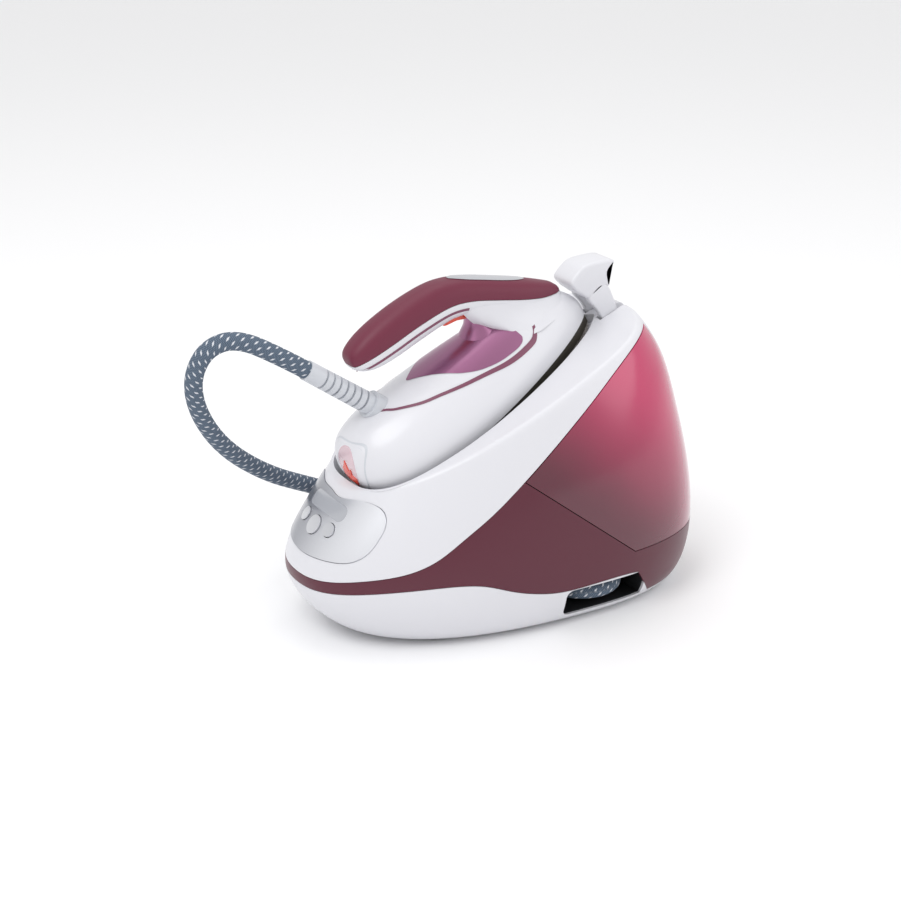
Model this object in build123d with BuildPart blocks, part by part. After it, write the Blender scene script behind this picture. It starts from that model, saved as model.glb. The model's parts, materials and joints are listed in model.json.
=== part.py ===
"""Steam generator iron: a boiler base with a tilted cradle, a pull-out water tank and a hose-fed iron.

Row frame: +X to the rear (tank), -X to the control fascia, +Z up, origin under the middle of the base on
the surface it stands on. All sizes are in millimetres.
"""

import math
import os

from build123d import *

os.makedirs("parts", exist_ok=True)

# ---------------------------------------------------------------- driving dimensions
BASE_LENGTH = 382.0     # shell, nose to rear, without the tank grip
BASE_WIDTH = 222.0      # shell, at its widest
BASE_HEIGHT = 270.0     # height of the form that the sloping rim is cut from
BASE_SHIFT = -0.5       # puts the middle of the whole object on the origin
WALL = 2.8              # moulded walls of the base
SEAM = 0.5              # visible gap between fixed shells
SHUT = 0.35             # gap round a part that sits in an opening
FOOT_HEIGHT = 3.0       # rubber feet below the lower shell
FOOT_RADIUS = 9.0

RIM_TILT = 23.7         # slope of the cradle's rim
RIM_FRONT = (-146.0, 134.0)   # the rim's front lip, X and Z
TUNNEL = (10.0, 96.0, 11.5, 38.0)  # hose tunnel's clear section: X from, X to, Z from, Z to
TUNNEL_WALL = 1.8

TANK_WALL = 2.4
TANK_GAP = 0.7          # running gap all round the water tank
TANK_FLOOR = 61.0       # underside of the tank
DECK = 2.5              # the shelf that the tank slides on
FLAP_SIZE = (38.0, 26.0)      # tank filling flap, width and height
FLAP_THICK = 2.2
FLAP_PIN = 1.2          # radius of the flap's hinge pin

SOLE_TILT = 28.5        # the parked iron's sole
SOLE_HEEL = (-123.0, 115.3)   # the sole's underside at the heel, X and Z
IRON_LENGTH = 250.0
IRON_WIDTH = 108.0
SOLE_THICK = 4.0
SKIRT_TOP = 13.0        # dark heat skirt, up to this height above the ironing face
REST_HEIGHT = 4.0       # pads that the sole rests on
REST_GAP = 0.4
TRAY_CLEAR = 9.0        # tray wall to sole, sideways
TRAY_WALL = 2.4

HANDLE_WIDTH = 33.0
SKIN = 2.4              # moulded walls of the iron
TRIGGER_PIN = 1.5
CUFF_GRASP = 8.0        # the hose goes this far into its cuff
CUFF_RIBS = 7
HOSE_RADIUS = 7.5

BAIL_PIVOT = (117.0, 231.0)   # lock bail's hinge line, X and Z
BAIL_PIN = 2.5
BAIL_INSIDE = 8.0      # half the clear width between the bail's arms
BAIL_ARM = 7.0
RUNNING = 0.06          # radial clearance of pins in their bores
APART = 0.5             # least gap between pieces that move past each other

BUTTON_TRAVEL = 2.0
BUTTON_GAP = 0.5
MAIN_BUTTON = 8.6       # radius
SIDE_BUTTON = 6.2
SIDE_OFFSET = 21.0      # side buttons, out from the middle

SPAN = 150.0            # half of any cut that runs right across the base

STRETCH = BASE_LENGTH / 382.0
BREADTH = BASE_WIDTH / 222.0
RISE = BASE_HEIGHT / 270.0


def at(x, z):
    """A point of the base's side view, which follows the base's length and height."""
    return (x * STRETCH + BASE_SHIFT, z * RISE)


# ---------------------------------------------------------------- the base's outer form
# height, foremost X, X of the widest place, rearmost X, half width
STATIONS = [
    (FOOT_HEIGHT, -142, 30, 168, 89), (12, -164, 30, 178, 100), (35, -186, 30, 186, 108),
    (60, -194, 30, 188, 111), (95, -178, 30, 186, 109), (130, -152, 30, 180, 104),
    (170, -125, 35, 170, 95), (210, -100, 45, 157, 84), (250, -80, 55, 130, 70), (270, -70, 60, 110, 62),
]
FRONT_POWER = 2.3
REAR_POWER = 2.6
TURN_STEPS = 9          # points on each quarter of a section


def oval(front, middle, rear, half, front_power=FRONT_POWER, rear_power=REAR_POWER):
    """Points of a plan outline: a superellipse quarter each side of its widest place, mirrored."""
    upper = []
    for step in range(TURN_STEPS + 1):
        turn = math.pi / 2 * step / TURN_STEPS
        upper.append((middle + (rear - middle) * math.cos(turn) ** (2 / rear_power),
                      half * math.sin(turn) ** (2 / rear_power)))
    for step in range(1, TURN_STEPS + 1):
        turn = math.pi / 2 * (1 - step / TURN_STEPS)
        upper.append((middle + (front - middle) * math.cos(turn) ** (2 / front_power),
                      half * math.sin(turn) ** (2 / front_power)))
    return upper + [(x, -y) for x, y in reversed(upper[1:-1])]


def base_form(inset=0.0):
    """The whole base as one smooth solid, each section drawn in by the inset."""
    with BuildPart() as form:
        for z, front, middle, rear, half in STATIONS:
            height = z * RISE + (inset if z == FOOT_HEIGHT else 0.0)
            with BuildSketch(Plane.XY.offset(height)):
                with BuildLine():
                    Spline(*oval(front * STRETCH + BASE_SHIFT + inset, middle * STRETCH + BASE_SHIFT,
                                 rear * STRETCH + BASE_SHIFT - inset, half * BREADTH - inset), periodic=True)
                make_face()
        loft()
    return form.part


def across(corners, curve=None, half=SPAN):
    """A side-view outline, an optional smooth curve closed by straight corners, run across along Y."""
    with BuildPart() as block:
        with BuildSketch(Plane.XZ):
            with BuildLine():
                if curve:
                    Spline(*curve)
                    Polyline(curve[-1], *corners, curve[0])
                else:
                    Polyline(*corners, corners[0])
            make_face()
        extrude(amount=half, both=True)
    return block.part


# ---------------------------------------------------------------- side-view seams
# top shell above, middle shell and tank below
UPPER_SEAM = [at(x, z) for x, z in (
    (-215, 60), (-192, 63.4), (-166, 69.3), (-128, 77.5), (-107, 86.3), (-85, 101), (-61, 117.4),
    (-36, 136.4), (19, 178.5), (49, 201), (73, 219), (97, 234), (118, 243), (150, 248), (205, 250))]
# middle shell above, lower shell below
LOWER_SEAM = [at(x, z) for x, z in (
    (-215, 49), (-192, 53.5), (-159, 59.2), (-120, 62.6), (-90, 62.8), (-68, 59.5), (-44, 50.5),
    (-20, 43.2), (0, 39.5), (30, 39), (86, 38.6))]
CORNER_FOOT = at(106, 11.5)        # the middle shell's rear corner comes down to here
TANK_NOSE = at(-27, 143.2)         # the tank's upper front corner
TANK_KNEE = at(80, TANK_FLOOR)     # where its sloping front meets its floor


def shifted(points, dx, dz):
    return [(x + dx, z + dz) for x, z in points]


def below_lower_seam(drop):
    corners = [CORNER_FOOT, (SPAN * 2, CORNER_FOOT[1]), (SPAN * 2, -20), (-SPAN * 2, -20),
               (-SPAN * 2, LOWER_SEAM[0][1])]
    return across(shifted(corners, 0, -drop), shifted(LOWER_SEAM, 0, -drop))


def above_upper_seam(lift):
    corners = [(SPAN * 2, UPPER_SEAM[-1][1]), (SPAN * 2, 400), (-SPAN * 2, 400),
               (-SPAN * 2, UPPER_SEAM[0][1])]
    return across(shifted(corners, 0, lift), shifted(UPPER_SEAM, 0, lift))


def tank_side(grow):
    """Everything above the tank's front slope and floor, both moved outwards by the given amount."""
    slope = math.atan2(TANK_NOSE[1] - TANK_KNEE[1], TANK_KNEE[0] - TANK_NOSE[0])
    knee_x = TANK_KNEE[0] - grow * math.tan(slope / 2)
    knee_z = TANK_KNEE[1] - grow
    far = 4 * SPAN
    return across([(knee_x, knee_z), (far, knee_z), (far, knee_z + far * math.sin(slope)),
                   (knee_x - far * math.cos(slope), knee_z + far * math.sin(slope))])


# ---------------------------------------------------------------- cradle
RIM = Plane(origin=(RIM_FRONT[0], 0, RIM_FRONT[1]),
            x_dir=(math.cos(math.radians(RIM_TILT)), 0, math.sin(math.radians(RIM_TILT))),
            z_dir=(-math.sin(math.radians(RIM_TILT)), 0, math.cos(math.radians(RIM_TILT))))
SOLE = Plane(origin=(SOLE_HEEL[0], 0, SOLE_HEEL[1]),
             x_dir=(math.cos(math.radians(SOLE_TILT)), 0, math.sin(math.radians(SOLE_TILT))),
             z_dir=(-math.sin(math.radians(SOLE_TILT)), 0, math.cos(math.radians(SOLE_TILT))))
SOLE_WIDEST = 84.0      # from the heel
TIP_POWER = 1.5         # the plan's superellipse powers: a pointed tip, a square heel
HEEL_POWER = 3.0


def sole_plan(heel, nose, half):
    """A closed sketch of the sole's plan form, between a heel and a nose along its length."""
    with BuildSketch() as outline:
        with BuildLine():
            Spline(*oval(heel, SOLE_WIDEST, nose, half, HEEL_POWER, TIP_POWER), periodic=True)
        make_face()
    return outline.sketch


def sole_outline(grow=0.0):
    return sole_plan(-grow, IRON_LENGTH + grow, IRON_WIDTH / 2 + grow)


def sole_block(grow, low, high):
    """The sole's plan, grown sideways, between two heights above the ironing face."""
    with BuildPart() as block:
        with BuildSketch(SOLE.offset(low)):
            add(sole_outline(grow))
        extrude(amount=high - low)
    return block.part


TRAY_FLOOR = -REST_HEIGHT - REST_GAP    # the tray's upper face, below the ironing face
TRAY_TOP = 60.0                         # the wall's blank height, before the rim plane trims it
POCKET_HALF = 48.0                      # the top shell's rear spine under the tray, half width
POCKET = [at(x, z) for x, z in ((32, 187), (82, 208), (230, 208), (230, 320), (32, 320))]


def pocket(grow):
    corners = [(x - grow, z - grow) for x, z in POCKET[:3]] + [(x - grow, z) for x, z in POCKET[3:]]
    return across(corners, half=POCKET_HALF + grow)


with BuildPart() as below_rim:          # everything under the plane of the rim
    with BuildSketch(RIM):
        Rectangle(8 * SPAN, 4 * SPAN)
    extrude(amount=-3 * SPAN)
with BuildPart() as below_roof:
    with BuildSketch(RIM.offset(-WALL)):
        Rectangle(8 * SPAN, 4 * SPAN)
    extrude(amount=-3 * SPAN)

FORM = base_form()
HOLLOW = base_form(WALL)
tray_space = sole_block(TRAY_CLEAR + TRAY_WALL, TRAY_FLOOR - TRAY_WALL, TRAY_TOP)

# ---------------------------------------------------------------- fascia and top shell
# the fascia's plane, square to the front slope; its local x runs to -Y and its local y up the slope
FASCIA_AT = at(-172, 97)
FASCIA = Plane(origin=(FASCIA_AT[0], 0, FASCIA_AT[1]), x_dir=(0, -1, 0), z_dir=(-0.8, 0, 0.6))
FASCIA_EDGE = [(0, 33), (24, 36), (44, 42.5), (55, 42), (60, 35), (61.5, 22), (59.5, 5),
               (52, -8), (38, -16.5), (20, -21.5), (0, -23.5)]
FASCIA_MIDDLE = 10.0    # the outline grows from this height up its plane
FASCIA_DEEP = 32.0      # its curved sides lie this far behind its plane
PROUD = 1.0             # the fascia stands this far out of the shell
BUTTON_PROUD = 2.6
BUTTONS = {"main_button": (0.0, 1.0, MAIN_BUTTON), "near_button": (SIDE_OFFSET, 4.5, SIDE_BUTTON),
           "far_button": (-SIDE_OFFSET, 4.5, SIDE_BUTTON)}
LENS_SIZE = (58.0, 15.0)
LENS_UP = 21.5
BOARD_DEPTH = 17.0      # control board, under the fascia's surface


def fascia_prism(grow, low=-60.0, high=40.0):
    """The fascia's outline, grown, run square to its plane."""
    wide = 1 + grow / 61.5
    tall = 1 + grow / 33.0
    half = [(x * wide, FASCIA_MIDDLE + (y - FASCIA_MIDDLE) * tall) for x, y in FASCIA_EDGE]
    with BuildPart() as block:
        with BuildSketch(FASCIA.offset(low)):
            with BuildLine():
                Spline(*half, *[(-x, y) for x, y in reversed(half[1:-1])], periodic=True)
            make_face()
        extrude(amount=high - low)
    return block.part


def fascia_rods(extra, low=-60.0, high=40.0):
    """One rod for each button, wider than it by the given amount."""
    with BuildPart() as rods:
        for x, y, radius in BUTTONS.values():
            with BuildSketch(FASCIA.offset(low)):
                with Locations((x, y)):
                    Circle(radius + extra)
            extrude(amount=high - low)
    return rods.part


def lens_block(extra):
    with BuildPart() as block:
        with BuildSketch(FASCIA.offset(-60)):
            with Locations((0, LENS_UP)):
                RectangleRounded(LENS_SIZE[0] + 2 * extra, LENS_SIZE[1] + 2 * extra, 6.5 + extra)
        extrude(amount=100)
    return block.part


RAISED = base_form(-PROUD)
GRIP_FORM = base_form(-6.2)
NOSE_BOX = across([(-SPAN * 2, 0), (at(-110, 0)[0], 0), (at(-110, 0)[0], 300), (-SPAN * 2, 300)])

with BuildPart() as fascia:
    add((RAISED - HOLLOW) & NOSE_BOX)
    add(fascia_prism(0.0), mode=Mode.INTERSECT)
    add(fascia_rods(BUTTON_GAP), mode=Mode.SUBTRACT)
    add(lens_block(0.0), mode=Mode.SUBTRACT)
with BuildPart() as indicator_lens:
    add((base_form(-0.7 * PROUD) - HOLLOW) & NOSE_BOX)
    add(lens_block(0.0), mode=Mode.INTERSECT)

HOUSING = ((97.0, 212.0), 22.0)       # front lower corner of the bail's housing, and its half width
SLOT_IN = BAIL_INSIDE - APART
SLOT_OUT = BAIL_INSIDE + BAIL_ARM + APART
SLOT_FLOOR = BAIL_PIVOT[1] - 13.0
housing = across([HOUSING[0], (SPAN * 2, HOUSING[0][1]), (SPAN * 2, 400), (HOUSING[0][0], 400)], half=HOUSING[1])


def bail_slot(low, high):
    """The slot that one arm of the bail swings in, open upwards and to the rear."""
    with BuildPart() as slot:
        with BuildSketch(Plane.XZ.offset(-low)):
            with BuildLine():
                Polyline((HOUSING[0][0] + 3, SLOT_FLOOR), (2 * SPAN, SLOT_FLOOR), (2 * SPAN, 400),
                         (HOUSING[0][0] + 3, 400), (HOUSING[0][0] + 3, SLOT_FLOOR))
            make_face()
        extrude(amount=low - high)
    return slot.part


def pivot_rod(radius, half):
    """A rod on the bail's hinge line."""
    with BuildPart() as rod:
        with BuildSketch(Plane.XZ):
            with Locations(BAIL_PIVOT):
                Circle(radius)
        extrude(amount=half, both=True)
    return rod.part


RIM_ROUND = 6.0
with BuildPart() as roof:               # everything under the rim, whose outer edge is well rounded
    add(FORM)
    add(below_rim.part, mode=Mode.INTERSECT)
    rim_edges = [edge for edge in roof.edges() if abs(RIM.to_local_coords(edge @ 0.0).Z) < 0.01
                 and abs(RIM.to_local_coords(edge @ 0.4).Z) < 0.01]
    fillet(rim_edges, radius=RIM_ROUND)
with BuildPart() as top_space:          # where the top shell is, and then where it is hollow
    add(above_upper_seam(SEAM / 2))
    add(pocket(0.0))
    add(housing)
with BuildPart() as top_hollow:
    add(above_upper_seam(SEAM / 2))
    add(pocket(-WALL))
    add(housing, mode=Mode.SUBTRACT)
    add(HOLLOW & below_roof.part, mode=Mode.INTERSECT)
with BuildPart() as top_shell:
    add(roof.part)
    add(top_space.part, mode=Mode.INTERSECT)
    add(top_hollow.part, mode=Mode.SUBTRACT)
    add(tray_space, mode=Mode.SUBTRACT)
    add(bail_slot(SLOT_IN, SLOT_OUT), mode=Mode.SUBTRACT)
    add(bail_slot(-SLOT_OUT, -SLOT_IN), mode=Mode.SUBTRACT)
    add(pivot_rod(BAIL_PIN + RUNNING, SLOT_OUT + 3), mode=Mode.SUBTRACT)
    add(fascia_prism(SHUT, low=-FASCIA_DEEP), mode=Mode.SUBTRACT)

BUTTON_FORM = base_form(-BUTTON_PROUD) & NOSE_BOX
CAP_DEPTH = 5.5         # the button cap's lower face, under the fascia's plane
STEM_RADIUS = 2.4
KEY_HEIGHT = 5.0
buttons = {}
for name, (x, y, radius) in BUTTONS.items():
    with BuildPart() as button:
        with BuildSketch(FASCIA.offset(-60)):
            with Locations((x, y)):
                Circle(radius)
        extrude(amount=100)
        add(BUTTON_FORM, mode=Mode.INTERSECT)
        with BuildSketch(FASCIA.offset(-60)):
            Rectangle(SPAN, SPAN)
        extrude(amount=60 - CAP_DEPTH, mode=Mode.SUBTRACT)
        with BuildSketch(FASCIA.offset(-BOARD_DEPTH + KEY_HEIGHT + BUTTON_TRAVEL + APART)):
            with Locations((x, y)):
                Circle(STEM_RADIUS)
        extrude(amount=BOARD_DEPTH - KEY_HEIGHT - BUTTON_TRAVEL - APART - CAP_DEPTH + 1.5)
    buttons[name] = button

BOARD_THICK = 1.6
PLUNGER = 1.5           # the key switches' plungers stand this far out of their cases
with BuildPart() as control_board:
    with BuildSketch(FASCIA.offset(-BOARD_DEPTH - BOARD_THICK)):
        with Locations((0, 4)):
            RectangleRounded(76, 34, 3)
    extrude(amount=BOARD_THICK)
    with BuildSketch(FASCIA.offset(-BOARD_DEPTH)):
        with Locations(*[(x, y) for x, y, _ in BUTTONS.values()]):
            Rectangle(6.2, 6.2)
    extrude(amount=KEY_HEIGHT - PLUNGER)
    with BuildSketch(FASCIA.offset(-BOARD_DEPTH + KEY_HEIGHT - PLUNGER)):
        with Locations(*[(x, y) for x, y, _ in BUTTONS.values()]):
            Circle(1.7)
    extrude(amount=PLUNGER)

# ---------------------------------------------------------------- middle and lower shells
TUNNEL_CLEAR = [(TUNNEL[0], TUNNEL[2]), (TUNNEL[1], TUNNEL[2]), (TUNNEL[1], TUNNEL[3]), (TUNNEL[0], TUNNEL[3])]
ANCHOR_WIDTH = 24.0     # the block that holds the hose's end, in the far mouth of the tunnel
ANCHOR_FACE = 80.0      # its near face, Y
PIPE_Y = ANCHOR_FACE + 7.0    # the steam pipe enters the block here
GLAND_AT = (TUNNEL[0] + 12.5, 62.0, (TUNNEL[2] + TUNNEL[3]) / 2)   # where the hose leaves its gland
GLAND_RADIUS = 10.5
PIPE_RADIUS = 3.0
INLET_AT = (58.0, 27.0)       # mains inlet gland in the rear wall, Y and Z
INLET_RADIUS = 8.0
INLET_BORE = 3.6
SCREW_AT = [(-100, 34), (-100, -34), (-25, 70), (-25, -70), (130, 52), (130, -52)]
SCREW_SHANK = 1.9
SCREW_HEAD = 3.6
SCREW_LENGTH = 15.0
SCREW_BOSS = 4.6
SCREW_HEAD_HEIGHT = 2.4
FEET_AT = [(-92, 56), (-92, -56), (122, 66), (122, -66)]
TUNNEL_ROUND = 7.0
VALVE_AT = (128.0, -36.0)     # tank valve, X and Y
VALVE_NECK = 8.0
SEAT_RADIUS = 13.0


def tunnel_block(grow):
    """The hose tunnel's clear section, grown, from side to side; its front end is well rounded."""
    with BuildPart() as block:
        with BuildSketch(Plane.XZ) as section:
            with BuildLine():
                Polyline(*TUNNEL_CLEAR, TUNNEL_CLEAR[0])
            make_face()
            fillet(section.vertices().group_by(Axis.X)[0], radius=TUNNEL_ROUND)
            if grow:
                offset(amount=grow, kind=Kind.ARC)
        extrude(amount=SPAN, both=True)
    return block.part


with BuildPart() as middle_shell:
    add(FORM)
    add(above_upper_seam(-SEAM / 2), mode=Mode.SUBTRACT)
    add(below_lower_seam(-SEAM / 2), mode=Mode.SUBTRACT)
    add(tank_side(TANK_GAP), mode=Mode.SUBTRACT)
    add(HOLLOW - tank_side(TANK_GAP + DECK), mode=Mode.SUBTRACT)
    # the mains inlet's hole, and the hole that the tank's valve sits down into
    with BuildSketch(Plane.YZ.offset(at(140, 0)[0])):
        with Locations(INLET_AT):
            Circle(INLET_RADIUS)
    extrude(amount=SPAN, mode=Mode.SUBTRACT)
    with BuildSketch(Plane.XY.offset(TANK_FLOOR - 10)):
        with Locations(VALVE_AT):
            Circle(SEAT_RADIUS)
    extrude(amount=14, mode=Mode.SUBTRACT)

with BuildPart() as lower_shell:
    add(FORM)
    add(below_lower_seam(SEAM / 2), mode=Mode.INTERSECT)
    add(HOLLOW, mode=Mode.SUBTRACT)
    add(tunnel_block(0.0), mode=Mode.SUBTRACT)
    with BuildSketch(Plane.XY.offset(FOOT_HEIGHT)):
        with Locations(SCREW_AT):
            Circle(SCREW_BOSS)
    extrude(amount=SCREW_LENGTH + 2.0)
    with BuildSketch(Plane.XY.offset(FOOT_HEIGHT)):
        with Locations(SCREW_AT):
            Circle(SCREW_SHANK)
    extrude(amount=SCREW_LENGTH, mode=Mode.SUBTRACT)
    with BuildSketch(Plane.XY.offset(FOOT_HEIGHT)):
        with Locations(SCREW_AT):
            Circle(SCREW_HEAD)
    extrude(amount=SCREW_HEAD_HEIGHT, mode=Mode.SUBTRACT)

with BuildPart() as case_screws:
    with BuildSketch(Plane.XY.offset(FOOT_HEIGHT)):
        with Locations(SCREW_AT):
            Circle(SCREW_SHANK)
    extrude(amount=SCREW_LENGTH)
    with BuildSketch(Plane.XY.offset(FOOT_HEIGHT + 0.3)):
        with Locations(SCREW_AT):
            Circle(SCREW_HEAD)
    extrude(amount=SCREW_HEAD_HEIGHT - 0.3)

with BuildPart() as feet:
    with BuildSketch():
        with Locations(FEET_AT):
            Circle(FOOT_RADIUS)
    extrude(amount=FOOT_HEIGHT)
    chamfer(feet.edges().filter_by(GeomType.CIRCLE).group_by(Axis.Z)[0], length=0.8)

with BuildPart() as hose_tunnel:
    add(tunnel_block(TUNNEL_WALL))
    add(tunnel_block(0.0), mode=Mode.SUBTRACT)
    add(HOLLOW, mode=Mode.INTERSECT)
    with BuildSketch(Plane.YZ.offset(TUNNEL[0] - 2 * TUNNEL_WALL)):
        with Locations((PIPE_Y, GLAND_AT[2])):
            Circle(PIPE_RADIUS)
    extrude(amount=3 * TUNNEL_WALL, mode=Mode.SUBTRACT)

# the block in the far mouth that the hose is anchored to, bored for the hose's steam pipe
ANCHOR_X = (TUNNEL[0] + ANCHOR_WIDTH / 2)
with BuildPart() as hose_anchor:
    with BuildSketch(Plane.XZ.offset(-ANCHOR_FACE)):
        with Locations((ANCHOR_X, GLAND_AT[2])):
            Rectangle(ANCHOR_WIDTH, TUNNEL[3] - TUNNEL[2])
    extrude(amount=-SPAN)
    add(tunnel_block(0.0), mode=Mode.INTERSECT)
    add(FORM, mode=Mode.INTERSECT)
    with BuildSketch(Plane.YZ.offset(TUNNEL[0] - 1)):
        with Locations((PIPE_Y, GLAND_AT[2])):
            Circle(PIPE_RADIUS)
    extrude(amount=GLAND_AT[0] - TUNNEL[0] + 1, mode=Mode.SUBTRACT)

with BuildPart() as hose_gland:
    with BuildSketch(Plane.XZ.offset(-GLAND_AT[1])):
        with Locations((GLAND_AT[0], GLAND_AT[2])):
            Circle(GLAND_RADIUS)
    extrude(amount=GLAND_AT[1] - ANCHOR_FACE)
    fillet(hose_gland.edges().filter_by(GeomType.CIRCLE).group_by(Axis.Y)[0], radius=2.0)

with BuildPart() as mains_inlet:
    with BuildSketch(Plane.YZ.offset(at(140, 0)[0] + 10)):
        with Locations(INLET_AT):
            Circle(INLET_RADIUS)
    extrude(amount=SPAN)
    add(RAISED, mode=Mode.INTERSECT)
    with BuildSketch(Plane.YZ.offset(at(140, 0)[0])):
        with Locations(INLET_AT):
            Circle(INLET_BORE)
    extrude(amount=SPAN, mode=Mode.SUBTRACT)

# ---------------------------------------------------------------- cradle tray and sole rests
with BuildPart() as cradle_tray:
    add(tray_space)
    add(sole_block(TRAY_CLEAR, TRAY_FLOOR, TRAY_TOP + 1), mode=Mode.SUBTRACT)
    add(below_rim.part, mode=Mode.INTERSECT)

REST_SPOTS = {"front_rest": (30.0, 62.0), "rear_rest": (168.0, 34.0)}   # along the sole; width
rests = {}
for name, (along, width) in REST_SPOTS.items():
    with BuildPart() as rest:
        with BuildSketch(SOLE.offset(TRAY_FLOOR)):
            with Locations((along, 0)):
                RectangleRounded(16, width, 6)
        extrude(amount=REST_HEIGHT)
        fillet(rest.faces().filter_by(GeomType.PLANE).sort_by(Axis(SOLE.origin, SOLE.z_dir))[-1].edges(), radius=1.2)
    rests[name] = rest

# ---------------------------------------------------------------- water tank
TANK_HOLLOW = base_form(TANK_WALL)
tray_reach = sole_block(TRAY_CLEAR + TRAY_WALL + TANK_GAP + 0.6, TRAY_FLOOR - TRAY_WALL - TANK_GAP - 0.6, TRAY_TOP)
tray_reach_wall = sole_block(TRAY_CLEAR + TRAY_WALL + TANK_GAP + 0.6 + TANK_WALL,
                             TRAY_FLOOR - TRAY_WALL - TANK_GAP - 0.6 - TANK_WALL, TRAY_TOP)
FLAP = Plane(origin=(at(171.5, 0)[0], 0, at(0, 168)[1]), x_dir=(0, 1, 0), z_dir=(0.966, 0, 0.259))
FLAP_LAP = 3.2          # the flap laps over the mouth's edge by this much
FLAP_EAR = 5.0          # each hinge ear's length along the pin
FLAP_RISE = FLAP_SIZE[1] / 2 + 3.4    # the hinge line, up the wall from the flap's middle
FLAP_KNUCKLE = 2.9      # radius of the flap's hinge barrel
FLAP_OFF = 0.5          # the flap's underside, above its seat
GRIP_SIZE = (56.0, 30.0)      # tank grip, width and height
GRIP_UP = 2.0          # the grip's lower edge, above the tank's floor
GRIP_PROUD = 6.2


def wall_block(width, height, low, high, rise=0.0, corner=5.0):
    """A rounded block square to the tank's rear wall at the filling mouth."""
    with BuildPart() as block:
        with BuildSketch(FLAP.offset(low)):
            with Locations((0, rise)):
                RectangleRounded(width, height, corner)
        extrude(amount=high - low)
    return block.part


def flap_rod(radius, start, end):
    """A rod on the flap's hinge line, from one Y to another."""
    line = FLAP.from_local_coords((0, FLAP_RISE, FLAP_OFF + FLAP_KNUCKLE))
    with BuildPart() as rod:
        with BuildSketch(Plane(origin=(line.X, start, line.Z), x_dir=(1, 0, 0), z_dir=(0, 1, 0))):
            Circle(radius)
        extrude(amount=end - start)
    return rod.part


with BuildPart() as tank_body:
    add(FORM)
    add(tank_side(0.0), mode=Mode.INTERSECT)
    add(above_upper_seam(-SEAM / 2 - TANK_GAP), mode=Mode.SUBTRACT)
    add(pocket(TANK_GAP), mode=Mode.SUBTRACT)
    add(tray_reach, mode=Mode.SUBTRACT)
    water = TANK_HOLLOW & tank_side(-TANK_WALL)
    water = water - above_upper_seam(-SEAM / 2 - TANK_GAP - TANK_WALL) - pocket(TANK_GAP + TANK_WALL)
    add(water - tray_reach_wall, mode=Mode.SUBTRACT)
    # a flat landing for the flap, the filling mouth through it, and the valve's hole in the floor
    add(wall_block(FLAP_SIZE[0] + 8, FLAP_SIZE[1] + 20, 0, 40, 4.0), mode=Mode.SUBTRACT)
    add(wall_block(FLAP_SIZE[0] + 8, FLAP_SIZE[1] + 20, -TANK_WALL, 0, 4.0) & FORM)
    add(wall_block(FLAP_SIZE[0] - 2 * FLAP_LAP, FLAP_SIZE[1] - 2 * FLAP_LAP, -20, 20), mode=Mode.SUBTRACT)
    with BuildSketch(Plane.XY.offset(TANK_FLOOR - 1)):
        with Locations(VALVE_AT):
            Circle(VALVE_NECK)
    extrude(amount=TANK_WALL + 3, mode=Mode.SUBTRACT)

ears = [(-FLAP_SIZE[0] / 2, FLAP_EAR), (FLAP_SIZE[0] / 2 - FLAP_EAR, FLAP_EAR)]
with BuildPart() as flap_hinge:         # two ears on the tank and the pin that they hold
    for start, length in ears:
        add(flap_rod(FLAP_KNUCKLE, start, start + length))
        add(wall_block(FLAP_EAR, 2 * FLAP_KNUCKLE, 0, FLAP_OFF + FLAP_KNUCKLE, FLAP_RISE, 0.6).moved(
            Location((0, start + length / 2, 0))))
with BuildPart() as flap_pin:
    add(flap_rod(FLAP_PIN, ears[0][0], ears[1][0] + FLAP_EAR))
with BuildPart() as bored:
    add(flap_hinge.part)
    add(flap_pin.part, mode=Mode.SUBTRACT)
flap_hinge = bored
with BuildPart() as tank_flap:
    add(wall_block(*FLAP_SIZE, FLAP_OFF, FLAP_OFF + FLAP_THICK))
    inner = ears[0][0] + FLAP_EAR + SHUT
    add(flap_rod(FLAP_KNUCKLE, inner, -inner))
    add(wall_block(-2 * inner, FLAP_RISE, FLAP_OFF, FLAP_OFF + FLAP_THICK, FLAP_RISE / 2, 0.6))
    add(wall_block(2 * SPAN, 3 * FLAP_KNUCKLE, FLAP_OFF - 3, FLAP_OFF - 0.05, FLAP_RISE, 0.6),
        mode=Mode.SUBTRACT)
    add(flap_rod(FLAP_PIN + RUNNING, -SPAN, SPAN), mode=Mode.SUBTRACT)

with BuildPart() as tank_grip:
    with BuildSketch(Plane.YZ.offset(at(150, 0)[0])):
        with Locations((0, TANK_FLOOR + GRIP_UP + GRIP_SIZE[1] / 2)):
            RectangleRounded(*GRIP_SIZE, 9)
    extrude(amount=60)
    add(GRIP_FORM, mode=Mode.INTERSECT)
    add(FORM, mode=Mode.SUBTRACT)

VALVE_TOP = 16.0
with BuildPart() as tank_valve:
    with BuildSketch(Plane.XY.offset(TANK_FLOOR)):
        with Locations(VALVE_AT):
            Circle(VALVE_NECK)
    extrude(amount=VALVE_TOP)
    with BuildSketch(Plane.XY.offset(TANK_FLOOR + TANK_WALL)):
        with Locations(VALVE_AT):
            Circle(VALVE_NECK + 3)
    extrude(amount=3)
    with BuildSketch(Plane.XY.offset(TANK_FLOOR)):
        with Locations(VALVE_AT):
            Circle(3.0)
    extrude(amount=VALVE_TOP, mode=Mode.SUBTRACT)
    fillet(tank_valve.edges().filter_by(GeomType.CIRCLE).group_by(Axis.Z)[-1], radius=0.8)

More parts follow.
